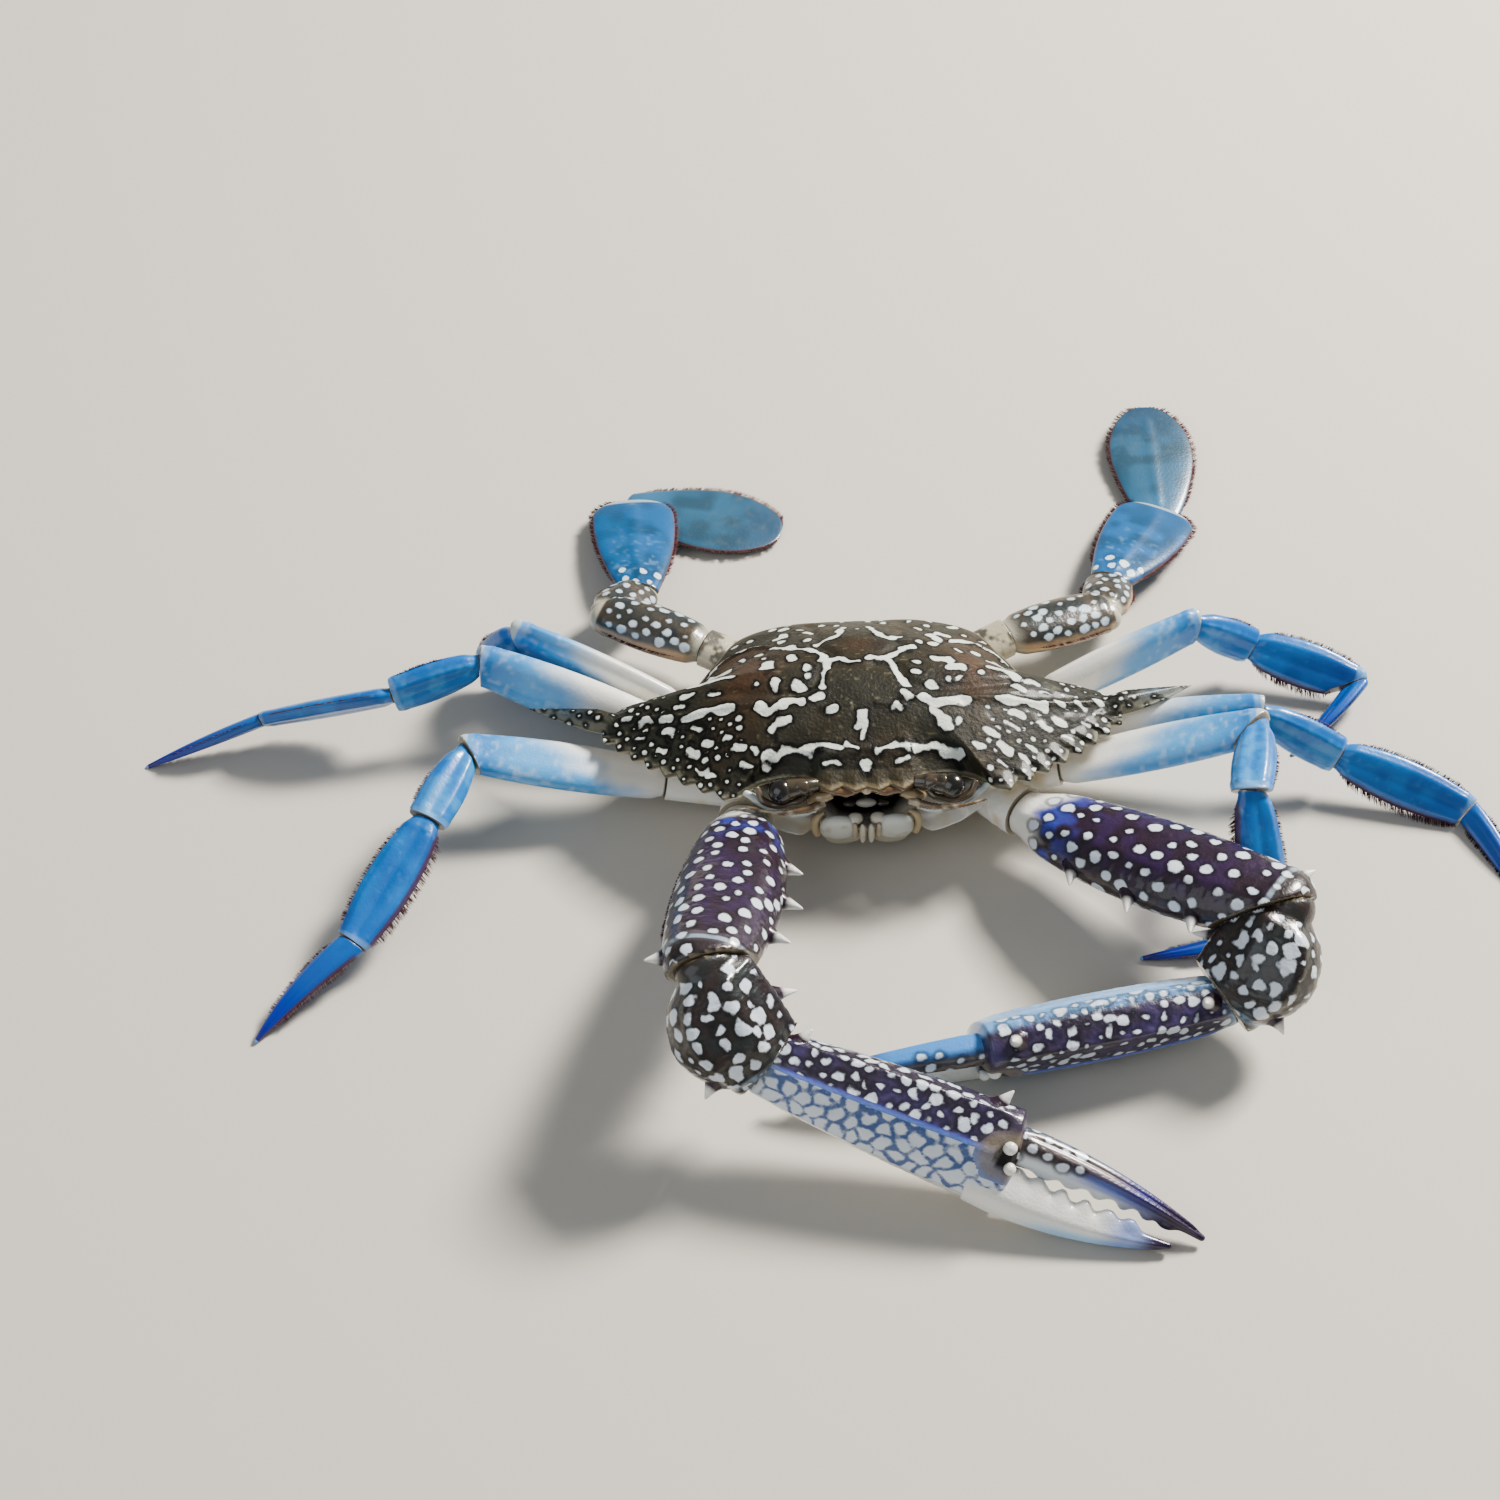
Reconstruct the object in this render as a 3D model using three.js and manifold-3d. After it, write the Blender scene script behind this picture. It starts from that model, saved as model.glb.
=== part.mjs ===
// Male blue swimming crab, life size, crouched on a flat floor: belly, claws, leg tips and paddles are
// down.
// Millimetres, +Z up, floor at Z = 0. The crab faces -Y, so its left side is +X.
import * as THREE from "three";
import { mergeVertices } from "three/addons/utils/BufferGeometryUtils.js";
import Module from "manifold-3d";

const wasm = await Module();
wasm.setup();
const rad = THREE.MathUtils.degToRad;

// ---- Driving dimensions ----
const GAP = 0.3; // clearance between neighbouring plates
const SPINE_TIP = [75, 3]; // half the span of the long side spines, and how far back their tips lie
const SHELL_FRONT = -32.3; // tips of the middle teeth of the front, from the centre of the body
const SHELL_REAR = 31.4; // hind margin of the shell
const RIM_Z = -9; // rim of the shell, below the centre of the body
const DOME = 13; // rise of the shell above its rim
const RIM_THICK = 1.6;
const BELLY_Z = -27; // breastplate, below the centre of the body
// The centre of the body above the floor. The nose and the left side are tipped up, in degrees.
const BODY = { x: 8.25, y: 9.55, z: 28.5, pitch: -8.9, roll: -1.8 };

// Where each limb leaves the body on the left side, how far its base reaches in from there, and the
// lengths of its five joints.
const LIMBS = {
  cheliped: { root: [27.1, -17, -21.8], inward: 1.5, lengths: [10.6, 66.4, 24, 52.5, 42] },
  leg2: { root: [33.6, -10.5, -23], inward: 8, lengths: [11.3, 45.1, 20, 32.3, 29] },
  leg3: { root: [34, -0.2, -20.7], inward: 8, lengths: [11.3, 45.2, 21, 31.4, 28.5] },
  leg4: { root: [33, 8.8, -20.2], inward: 8, lengths: [10, 39.9, 17, 26.1, 24.6] },
  swimmer: { root: [26, 23.8, -14.4], inward: 6, lengths: [10.3, 25.5, 14.5, 34.4, 34.2] },
};
const JOINTS = ["base", "merus", "carpus", "propodus", "dactyl"];

// The pose: heading (0 is +X, 90 is +Y), climb and roll of each joint in degrees. At roll 0 a broad face
// is up.
const POSE = {
  right: {
    cheliped: [[-88, 25, 0], [-98.4, 23, 0], [-43, -47, 10], [-17, -8.6, 52], [-22, -16.2, 52]],
    leg2: [[179, 12, -13], [179, 12, -13], [-113, -5, -15], [-119, -15, -15], [-134, -14.5, -15]],
    leg3: [[163, 13, -53], [163, 13, -53], [-164, -11, -75], [180, -14, -125], [-165, -16, -125]],
    leg4: [[163, 19, -95], [163, 19, -95], [146, -59, -95], [-22, -5, -60], [0, -11, -60]],
    swimmer: [[155, 7, 0], [155, 2, 0], [56, -19, 0], [94, -7, 0], [-11, -2, 0]],
  },
  left: {
    cheliped: [[-44, 10, 0], [-38.3, 13.4, 0], [-136, -46, 0], [-166.5, 1.1, -123], [-173, -6, -123]],
    leg2: [[-4, 21, 5], [-4, 21, 5], [-102, 2, 10], [-72, -57, 0], [-168, -3, 20]],
    leg3: [[-2, 10.3, 60], [-2, 10.3, 60], [-13, -27, 68], [-22, -12, 50], [-69, -9, 50]],
    leg4: [[22, 12, 85], [22, 12, 85], [6, -33, 80], [-19, -9, 50], [-134, -11.5, 40]],
    swimmer: [[25, 10, 0], [21, -2, 0], [79, -17, 0], [62, -10, 0], [90, 3, 0]],
  },
};

// Widths and thicknesses at the start, the middle and the end of each joint. A cap is the round end
// past the joint. The middle bows towards the inner border, and the far end drops towards the outer one.
const FORMS = {
  cheliped: {
    base: { width: [8, 10.5, 12], thick: [8, 9.5, 10], caps: [1.5, 4] },
    merus: { width: [12.5, 22, 17], thick: [10, 14, 12.5], caps: [4, 6], bow: 1 },
    carpus: { width: [16, 24, 18], thick: [13, 17, 13], caps: [6, 5], bow: -3 },
    propodus: { width: [13.5, 19, 21.5], thick: [11, 13.5, 12], caps: [4, 2], drop: 3.4 },
    dactyl: { width: [8.4, 5.6, 1.4], thick: [6.8, 5, 1.4], caps: [3, 0.8], bow: 1.5 },
    sides: 10,
    capAngles: [40],
    shares: [0, 0.3, 0.6, 1],
  },
  walking: {
    base: { width: [7.4, 8.4, 8.8], thick: [5, 5.4, 5.4], caps: [1, 2] },
    merus: { width: [8.8, 11.4, 9], thick: [5.2, 5.8, 5.2], caps: [2.5, 3.5] },
    carpus: { width: [5.8, 9.6, 8.6], thick: [4.4, 5.2, 4.6], caps: [3, 3] },
    propodus: { width: [7.2, 11, 7.2], thick: [4.2, 4.2, 3.4], caps: [3, 2] },
    dactyl: { width: [6.2, 4.8, 1], thick: [3.2, 2.8, 1], caps: [2, 0.7], bow: -1 },
    sides: 8,
    capAngles: [45],
    shares: [0, 0.3, 0.7, 1],
  },
  swimming: {
    base: { width: [9, 10, 9.6], thick: [6, 6.6, 7.5], caps: [1, 2.5] },
    merus: { width: [9.6, 13, 11], thick: [7.5, 8.4, 7], caps: [3, 3.5] },
    carpus: { width: [9, 12, 10], thick: [6.4, 6.6, 5], caps: [3.5, 2.5] },
    propodus: { width: [9, 18.4, 13], thick: [4.4, 3.6, 3], caps: [2.5, 2] },
    dactyl: { width: [9, 20, 13.5], thick: [2.6, 2.4, 1.4], caps: [2, 3.5] },
    sides: 8,
    capAngles: [40],
    shares: [0, 0.3, 0.6, 0.9, 1],
  },
};
const KIND = {
  cheliped: "cheliped",
  leg2: "walking",
  leg3: "walking",
  leg4: "walking",
  swimmer: "swimming",
};

// ---- Colours ----
const COLOUR = {
  shell: [0x3f3b2f, 0.35],
  belly: [0xe9e4d8, 0.45],
  claw: [0x3c2c4a, 0.35],
  leg: [0x2f86d6, 0.4],
  pale: [0xdfe6ea, 0.45],
  swimmer: [0x3d4648, 0.4],
  paddle: [0x3f84b8, 0.4],
  eye: [0x14100d, 0.1],
  feeler: [0x7a5a3a, 0.5],
};

// ---- Geometry helpers ----
// The parabola through three sizes: at the start, the middle and the end of a length.
const through = ([start, middle, end]) => (t) =>
  start * (1 - t) * (1 - 2 * t) + middle * 4 * t * (1 - t) + end * t * (2 * t - 1);

function solidOf(geometry) {
  const bare = geometry.clone();
  bare.deleteAttribute("normal");
  bare.deleteAttribute("uv");
  const merged = mergeVertices(bare, 1e-4);
  return new wasm.Manifold(
    new wasm.Mesh({
      numProp: 3,
      vertProperties: new Float32Array(merged.attributes.position.array),
      triVerts: new Uint32Array(merged.index.array),
    }),
  );
}

function geometryOf(solid) {
  const mesh = solid.getMesh();
  const geometry = new THREE.BufferGeometry();
  geometry.setAttribute("position", new THREE.BufferAttribute(new Float32Array(mesh.vertProperties), 3));
  geometry.setIndex(new THREE.BufferAttribute(new Uint32Array(mesh.triVerts), 1));
  geometry.computeVertexNormals();
  return geometry;
}

// A block that fills the space past a plane, on the side its normal points to.
const BLOCK = 400;
function spacePast(point, normal) {
  const turn = new THREE.Quaternion().setFromUnitVectors(new THREE.Vector3(0, 0, 1), normal);
  const centre = point.clone().addScaledVector(normal, BLOCK / 2);
  const place = new THREE.Matrix4().compose(centre, turn, new THREE.Vector3(1, 1, 1));
  return solidOf(new THREE.BoxGeometry(BLOCK, BLOCK, BLOCK).applyMatrix4(place));
}
const BELOW_FLOOR = spacePast(new THREE.Vector3(0, 0, 0), new THREE.Vector3(0, 0, -1));

// A unit cylinder whose rows become the oval stations of a form along +X: { x, y, z, width, thick }.
function loft(stations, sides) {
  const shape = new THREE.CylinderGeometry(1, 1, 1, sides, stations.length - 1);
  const p = shape.attributes.position;
  for (let i = 0; i < p.count; i += 1) {
    const s = stations[Math.round((0.5 - p.getY(i)) * (stations.length - 1))];
    p.setXYZ(i, s.x, (s.y ?? 0) + (p.getX(i) * s.width) / 2, (s.z ?? 0) + (p.getZ(i) * s.thick) / 2);
  }
  return shape;
}

// One joint of a limb along +X. It keeps its widths and thicknesses between the joint centres and is
// rounded off past both of them.
function plateGeometry({ length, width, thick, caps, edge, rounding, bow = 0, drop = 0, grow = 0 }) {
  const { sides, capAngles, shares } = rounding;
  const station = (t, x, size) => ({
    x,
    y: edge * (bow * 4 * t * (1 - t) - drop * t),
    width: through(width)(t) * size + 2 * grow,
    thick: through(thick)(t) * size + 2 * grow,
  });
  const cap = (t, x, reach) => (angle) => station(t, x + reach * Math.cos(rad(angle)), Math.sin(rad(angle)));
  const start = capAngles.map(cap(0, 0, -caps[0] - grow));
  const middle = shares.map((t) => station(t, t * length, 1));
  const end = capAngles.map(cap(1, length, caps[1] + grow));
  return loft([...start, ...middle, ...end.reverse()], sides);
}

const SPIKE_TIP = 0.25; // radius
// A cone that stands on a form: its foot is sunk in, its tip points along a direction.
function spike(foot, direction, radius, length) {
  const up = new THREE.Vector3(...direction).normalize();
  const turn = new THREE.Quaternion().setFromUnitVectors(new THREE.Vector3(0, 1, 0), up);
  const centre = new THREE.Vector3(...foot).addScaledVector(up, length / 2);
  const place = new THREE.Matrix4().compose(centre, turn, new THREE.Vector3(1, 1, 1));
  return solidOf(new THREE.CylinderGeometry(SPIKE_TIP, radius, length, 5).applyMatrix4(place));
}

const crab = new THREE.Group();
const bodyPlace = new THREE.Matrix4().compose(
  new THREE.Vector3(BODY.x, BODY.y, BODY.z),
  new THREE.Quaternion().setFromEuler(new THREE.Euler(rad(BODY.pitch), rad(BODY.roll), 0)),
  new THREE.Vector3(1, 1, 1),
);

// Adds a sub-part: its solid is given in its own frame, and the matrix sets it in the crab.
function addPart(name, solid, place, [colour, roughness]) {
  const material = new THREE.MeshStandardMaterial({ color: colour, roughness, metalness: 0 });
  const mesh = new THREE.Mesh(geometryOf(solid), material);
  mesh.name = name;
  mesh.applyMatrix4(place);
  crab.add(mesh);
}

// The floor cuts whatever would sink into it to a small flat.
const aboveFloor = (solid, place) =>
  solid.subtract(BELOW_FLOOR.transform(place.clone().invert().elements));

// ---- Limbs ----
// The frame of a joint: +X along it, +Z out of its broad face.
function jointFrame(at, heading, climb, roll) {
  const turn = new THREE.Quaternion()
    .setFromAxisAngle(new THREE.Vector3(0, 0, 1), rad(heading))
    .multiply(new THREE.Quaternion().setFromAxisAngle(new THREE.Vector3(0, 1, 0), -rad(climb)))
    .multiply(new THREE.Quaternion().setFromAxisAngle(new THREE.Vector3(1, 0, 0), rad(roll)));
  return new THREE.Matrix4().compose(at, turn, new THREE.Vector3(1, 1, 1));
}
const along = (frame) => new THREE.Vector3().setFromMatrixColumn(frame, 0);

// The plane that parts two joints halves the bend between them.
function cutBetween(solid, place, at, before, after, keepAfter) {
  const normal = before.clone().add(after).normalize();
  const away = keepAfter ? normal.clone().negate() : normal;
  const plane = at.clone().addScaledVector(away, -GAP / 2);
  return solid.subtract(spacePast(plane, away).transform(place.clone().invert().elements));
}

// Spines of a claw: share of the length, inner (+1) or outer (-1) border, and how far they stand out.
const CLAW_SPINES = {
  merus: [[0.3, 1, 3.2], [0.53, 1, 3.4], [0.76, 1, 3.4], [0.97, -1, 3]],
  carpus: [[0.55, 1, 4], [0.85, -1, 2]],
  propodus: [[0.1, 1, 2.6], [0.9, 1, 3]],
};
const SPINE = { radius: 1.7, sunk: 1.4, lean: 0.35 };
const TOOTH = { radius: 1.6, height: 2.2, sunk: 1.2 };
const FIXED_TEETH = [0.28, 0.45, 0.62, 0.79]; // shares of the fixed finger
const DACTYL_TEETH = [0.34, 0.54, 0.74];

// Thick lower finger of a claw: its stations run from inside the palm to the tip.
const FIXED_FINGER = {
  width: [9.6, 7.4, 1.4],
  thick: [8, 6, 1.4],
  from: [46, -9, 1.6],
  to: [88, -9.6, 1.8],
  bow: -1.6,
};
function fixedFingerAt(t) {
  const { width, thick, from, to, bow } = FIXED_FINGER;
  const [x, y, z] = from.map((start, axis) => start + (to[axis] - start) * t);
  return { x, y: y + bow * 4 * t * (1 - t), z, width: through(width)(t), thick: through(thick)(t) };
}

function fixedFinger(edge) {
  const stations = [0, 0.25, 0.5, 0.75, 1].map((t) => {
    const at = fixedFingerAt(t);
    return { ...at, y: edge * at.y };
  });
  return solidOf(loft(stations, FORMS.cheliped.sides));
}

// A blunt tooth on a finger: it stands towards +1 or -1 of the border.
const clawTooth = (edge, x, border, z, toward) =>
  spike([x, edge * (border - toward * TOOTH.sunk), z], [0, edge * toward, 0], TOOTH.radius, TOOTH.height);

// What stands on a joint of a claw: spines, and on the palm the fixed finger with its blunt teeth.
function clawDetail(joint, form, edge) {
  const { length, drop = 0, bow = 0 } = form;
  const middleAt = (t) => bow * 4 * t * (1 - t) - drop * t;
  const pieces = (CLAW_SPINES[joint] ?? []).map(([t, border, reach]) => {
    const y = edge * (middleAt(t) + border * (through(form.width)(t) / 2 - SPINE.sunk));
    return spike([t * length, y, 0], [SPINE.lean, edge * border, 0], SPINE.radius, reach + SPINE.sunk);
  });
  if (joint === "propodus") {
    pieces.push(fixedFinger(edge));
    for (const t of FIXED_TEETH) {
      const at = fixedFingerAt(t);
      pieces.push(clawTooth(edge, at.x, at.y + at.width / 2, at.z, 1));
    }
  }
  if (joint === "dactyl") {
    for (const t of DACTYL_TEETH) {
      const border = middleAt(t) - through(form.width)(t) / 2;
      pieces.push(clawTooth(edge, t * length, border, 0, -1));
    }
  }
  return pieces;
}

// The movable finger sits in a hollow of its own shape at the end of the palm.
function hollowFor(solid, place, fingerPlace, fingerForm) {
  const local = place.clone().invert().multiply(fingerPlace);
  return solid.subtract(solidOf(plateGeometry({ ...fingerForm, grow: GAP })).transform(local.elements));
}

// The five joints of one limb, each { name, joint, place, solid }, and the socket that its base needs.
function makeLimb(side, limb) {
  const sign = side === "left" ? 1 : -1;
  const edge = -sign; // local Y of the inner border
  const { root, inward, lengths } = LIMBS[limb];
  const kind = KIND[limb];
  const at = new THREE.Vector3(sign * root[0], root[1], root[2]).applyMatrix4(bodyPlace);
  const frames = POSE[side][limb].map(([heading, climb, roll], i) => {
    const frame = jointFrame(at, heading, climb, roll);
    at.addScaledVector(along(frame), lengths[i]);
    return frame;
  });
  const starts = frames.map((frame) => new THREE.Vector3().setFromMatrixPosition(frame));
  const forms = JOINTS.map((joint, i) => ({
    ...FORMS[kind][joint],
    length: lengths[i],
    rounding: FORMS[kind],
    edge,
  }));
  frames[0].setPosition(starts[0].clone().addScaledVector(along(frames[0]), -inward));
  forms[0].length += inward;

  const joints = JOINTS.map((joint, i) => {
    const place = frames[i];
    const next = frames[i + 1];
    let solid = solidOf(plateGeometry(forms[i]));
    if (kind === "cheliped") solid = wasm.Manifold.union([solid, ...clawDetail(joint, forms[i], edge)]);
    if (i > 0) solid = cutBetween(solid, place, starts[i], along(frames[i - 1]), along(place), true);
    if (kind === "cheliped" && joint === "propodus") {
      solid = hollowFor(solid, place, next, forms[i + 1]);
    } else if (next) {
      solid = cutBetween(solid, place, starts[i + 1], along(place), along(next), false);
    }
    return { name: `${limb}_${side}_${joint}`, joint, place, solid: aboveFloor(solid, place) };
  });
  const socket = solidOf(plateGeometry({ ...forms[0], grow: GAP })).transform(frames[0].elements);
  return { kind, joints, socket };
}

// ---- Shell ----
// Half the outline of the shell from the middle of its front to the middle of its rear. Each point is
// { rim, base }: the toothed rim and the smooth oval under it.
// FRONT and ORBIT hold x, and how far back from SHELL_FRONT.
const FRONT = [[0, 1.2], [2.6, 0], [5.2, 1.8], [8, 0.2], [10.2, 2.2]];
const ORBIT = [[13, 5.2], [18, 6.4], [23, 6], [26.4, 4]];
const SIDE_ARC = { from: [28.6, -30.2], bend: [47, -19.5], to: [58, -6.2] };
const FRONT_SHELF = 3; // how far the teeth of the front stand out of the oval under them
const SIDE_TEETH = 8;
const TOOTH_PEAK = 0.36; // share of a tooth's own length
const TOOTH_REACH = 2.1;
const SPINE_BASE = [59, -3.4];
const REAR_CURVE = [
  [57.5, -0.6],
  [45, 1.3],
  [38, 7.5],
  [33.2, 16],
  [27, 26],
  [16, SHELL_REAR - 0.6],
  [0, SHELL_REAR],
];
const REAR_STEPS = 12;

function halfOutline() {
  const points = [];
  for (const [x, back] of [...FRONT, ...ORBIT]) {
    points.push({ rim: [x, SHELL_FRONT + back], base: [x, SHELL_FRONT + Math.max(back, FRONT_SHELF)] });
  }
  const arc = new THREE.QuadraticBezierCurve(
    new THREE.Vector2(...SIDE_ARC.from),
    new THREE.Vector2(...SIDE_ARC.bend),
    new THREE.Vector2(...SIDE_ARC.to),
  );
  for (let tooth = 0; tooth < SIDE_TEETH; tooth += 1) {
    const notch = arc.getPoint(tooth / SIDE_TEETH);
    const tip = arc.getPoint((tooth + TOOTH_PEAK) / SIDE_TEETH);
    const out = arc.getTangent((tooth + TOOTH_PEAK) / SIDE_TEETH);
    points.push({ rim: notch.toArray(), base: notch.toArray() });
    points.push({ rim: [tip.x + out.y * TOOTH_REACH, tip.y - out.x * TOOTH_REACH], base: tip.toArray() });
  }
  points.push({ rim: SIDE_ARC.to, base: SIDE_ARC.to });
  points.push({ rim: SPINE_TIP, base: SPINE_BASE });
  const rear = new THREE.SplineCurve(REAR_CURVE.map(([x, y]) => new THREE.Vector2(x, y)));
  for (const p of rear.getPoints(REAR_STEPS)) points.push({ rim: p.toArray(), base: p.toArray() });
  return points;
}

const HALF = halfOutline();
const ROUND = 2 * (HALF.length - 1);
// The k-th point round the whole outline, counted from the front towards the crab's left.
function outlinePoint(k, which) {
  const i = k % ROUND;
  const mirrored = i > HALF.length - 1;
  const [x, y] = HALF[mirrored ? ROUND - i : i][which];
  return [mirrored ? -x : x, y];
}

// A stack of rings round the body, from the top down. Each ring gives
// { which, scale: [x, y], z, centre }. It takes every point of the outline, or every so many.
function stack(rings, every = 1) {
  const shape = new THREE.CylinderGeometry(1, 1, 1, ROUND / every, rings.length - 1);
  const p = shape.attributes.position;
  for (let i = 0; i < p.count; i += 1) {
    const ring = rings[Math.round((0.5 - p.getY(i)) * (rings.length - 1))];
    const turn = Math.atan2(p.getX(i), p.getZ(i)) / (2 * Math.PI);
    const k = Math.round((turn + 1) * ROUND) % ROUND;
    const atAxis = Math.hypot(p.getX(i), p.getZ(i)) < 0.5;
    const [x, y] = atAxis ? [0, ring.centre] : outlinePoint(k, ring.which);
    const [sx, sy] = ring.scale;
    p.setXYZ(i, x * sx, ring.centre + (y - ring.centre) * sy, ring.z + (atAxis ? (ring.peak ?? 0) : 0));
  }
  return shape;
}

const DOME_CENTRE = -2;
const DOME_RINGS = [0.32, 0.64, 0.88]; // shares of the way from the top to the rim
const DOME_POWER = 2.3; // how flat the middle is
const FAN_CENTRE = -10; // every point of the rim is in sight from here
function makeCarapace() {
  const height = (share) => RIM_Z + DOME * (1 - share ** DOME_POWER);
  const rings = DOME_RINGS.map((share) => ({
    which: "base",
    scale: [share, share],
    z: height(share),
    centre: DOME_CENTRE,
  }));
  rings[0].peak = RIM_Z + DOME - rings[0].z;
  rings.push({ which: "rim", scale: [1, 1], z: RIM_Z, centre: DOME_CENTRE });
  rings.push({ which: "rim", scale: [1, 1], z: RIM_Z - RIM_THICK, centre: FAN_CENTRE });
  return solidOf(stack(rings));
}

const TRUNK_LEVELS = [
  { z: RIM_Z - RIM_THICK - GAP, scale: [0.92, 0.93] },
  { z: -13.2, scale: [0.84, 0.85] },
  { z: -19, scale: [0.6, 0.85] },
  { z: -23.5, scale: [0.5, 0.88] },
  { z: BELLY_Z, scale: [0.38, 0.62] },
];
const TRUNK_CENTRE = -3;
function makeTrunk() {
  const rings = TRUNK_LEVELS.map(({ z, scale }) => ({ which: "base", scale, z, centre: TRUNK_CENTRE }));
  return solidOf(stack(rings, 3));
}

// ---- Abdomen, mouth plates, eyes and feelers ----
// A strip bent along a curve in the plane x = 0: it stands for the flap folded under the breastplate.
const FLAP = {
  path: [[30.4, -12.6], [30.4, -18], [26, -22.8], [17, -24.9], [6, -26.6], [-6, -27]],
  widths: [24, 25, 21, 14, 9, 4],
  thick: 2,
  sides: 10,
  steps: 8,
};
function flapGeometry(grow = 0) {
  const path = new THREE.SplineCurve(FLAP.path.map(([y, z]) => new THREE.Vector2(y, z)));
  const shape = new THREE.CylinderGeometry(1, 1, 1, FLAP.sides, FLAP.steps);
  const p = shape.attributes.position;
  const last = FLAP.widths.length - 1;
  for (let i = 0; i < p.count; i += 1) {
    const t = 0.5 - p.getY(i);
    const at = path.getPoint(t);
    const slope = path.getTangent(t);
    const step = Math.min(Math.floor(t * last), last - 1);
    const width = THREE.MathUtils.lerp(FLAP.widths[step], FLAP.widths[step + 1], t * last - step);
    const off = p.getZ(i) * (FLAP.thick / 2 + grow);
    const atEnd = t === 0 || t === 1;
    const reach = atEnd ? -grow * Math.sign(p.getY(i)) : 0;
    p.setXYZ(
      i,
      p.getX(i) * (width / 2 + grow),
      at.x + slope.x * reach + slope.y * off,
      at.y + slope.y * reach - slope.x * off,
    );
  }
  return shape;
}

const MOUTH = {
  at: [5.9, -28.4, -20.2],
  length: 10.5,
  width: [8, 10, 8.6],
  thick: [2, 3, 2.2],
  cap: 2,
  lean: 112,
};
function mouthPlace(sign) {
  const [x, y, z] = MOUTH.at;
  return new THREE.Matrix4().compose(
    new THREE.Vector3(sign * x, y, z),
    new THREE.Quaternion().setFromEuler(new THREE.Euler(0, rad(MOUTH.lean), rad(90), "ZYX")),
    new THREE.Vector3(1, 1, 1),
  );
}

function mouthGeometry(grow = 0) {
  const { length, width, thick, cap } = MOUTH;
  const form = { length: length - 2 * cap, width, thick, caps: [cap, cap] };
  return plateGeometry({ ...form, edge: 1, rounding: FORMS.walking, grow }).translate(cap - length / 2, 0, 0);
}

const EYE = { at: [19, -30.2, -9.6], radius: 2.9, stalkRadius: 1.7, stalkLength: 8, stalkBack: 0.6 };
const eyePlace = (sign) => new THREE.Matrix4().makeTranslation(sign * EYE.at[0], EYE.at[1], EYE.at[2]);
function eyeSolid(sign, grow = 0) {
  const globe = new THREE.SphereGeometry(EYE.radius + grow, 10, 7);
  const radius = EYE.stalkRadius + grow;
  const stalk = new THREE.CylinderGeometry(radius, radius, EYE.stalkLength + grow, 8);
  stalk.rotateZ(rad(90)).translate((-sign * EYE.stalkLength) / 2, EYE.stalkBack, 0);
  return solidOf(globe).add(solidOf(stalk));
}

const FEELER = {
  path: [[11.5, -31.2, -12.6], [15, -33.8, -12.2], [20, -34.6, -11], [26, -34.2, -9.8]],
  radii: [1.5, 1.2, 0.6, 0.4],
  steps: 6,
};
function feelerGeometry(sign, grow = 0) {
  const curve = new THREE.CatmullRomCurve3(FEELER.path.map(([x, y, z]) => new THREE.Vector3(sign * x, y, z)));
  const shape = new THREE.CylinderGeometry(1, 1, 1, 6, FEELER.steps);
  const p = shape.attributes.position;
  const last = FEELER.radii.length - 1;
  for (let i = 0; i < p.count; i += 1) {
    const t = 0.5 - p.getY(i);
    const at = curve.getPoint(t);
    const slope = curve.getTangent(t);
    const step = Math.min(Math.floor(t * last), last - 1);
    const radius = THREE.MathUtils.lerp(FEELER.radii[step], FEELER.radii[step + 1], t * last - step) + grow;
    const across = new THREE.Vector3(-slope.y, slope.x, 0).normalize();
    const rise = new THREE.Vector3().crossVectors(slope, across);
    at.addScaledVector(across, p.getX(i) * radius).addScaledVector(rise, p.getZ(i) * radius);
    p.setXYZ(i, at.x, at.y, at.z);
  }
  return shape;
}

// ---- Assembly ----
const limbs = [];
for (const limb of Object.keys(LIMBS)) {
  for (const side of ["right", "left"]) limbs.push(makeLimb(side, limb));
}
const toBody = bodyPlace.clone().invert();
const sockets = limbs.map(({ socket }) => socket.transform(toBody.elements));
const bothSides = (make) => [-1, 1].map(make);
const mouthCuts = bothSides((sign) => solidOf(mouthGeometry(GAP)).transform(mouthPlace(sign).elements));
const eyeCuts = bothSides((sign) => eyeSolid(sign, GAP).transform(eyePlace(sign).elements));
const feelerCuts = bothSides((sign) => solidOf(feelerGeometry(sign, GAP)));

const carapace = makeCarapace().subtract(wasm.Manifold.union([...eyeCuts, ...feelerCuts]));
const trunkCuts = [...sockets, ...mouthCuts, ...eyeCuts, ...feelerCuts, solidOf(flapGeometry(GAP))];
const trunk = makeTrunk().subtract(wasm.Manifold.union(trunkCuts));
addPart("carapace", carapace, bodyPlace, COLOUR.shell);
addPart("thorax", aboveFloor(trunk, bodyPlace), bodyPlace, COLOUR.belly);
addPart("abdomen", aboveFloor(solidOf(flapGeometry()), bodyPlace), bodyPlace, COLOUR.belly);

for (const [side, sign] of [["right", -1], ["left", 1]]) {
  addPart(`eye_${side}`, eyeSolid(sign), bodyPlace.clone().multiply(eyePlace(sign)), COLOUR.eye);
  addPart(`antenna_${side}`, solidOf(feelerGeometry(sign)), bodyPlace, COLOUR.feeler);
  const mouthAt = bodyPlace.clone().multiply(mouthPlace(sign));
  addPart(`maxilliped_${side}`, solidOf(mouthGeometry()), mouthAt, COLOUR.belly);
}

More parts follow.
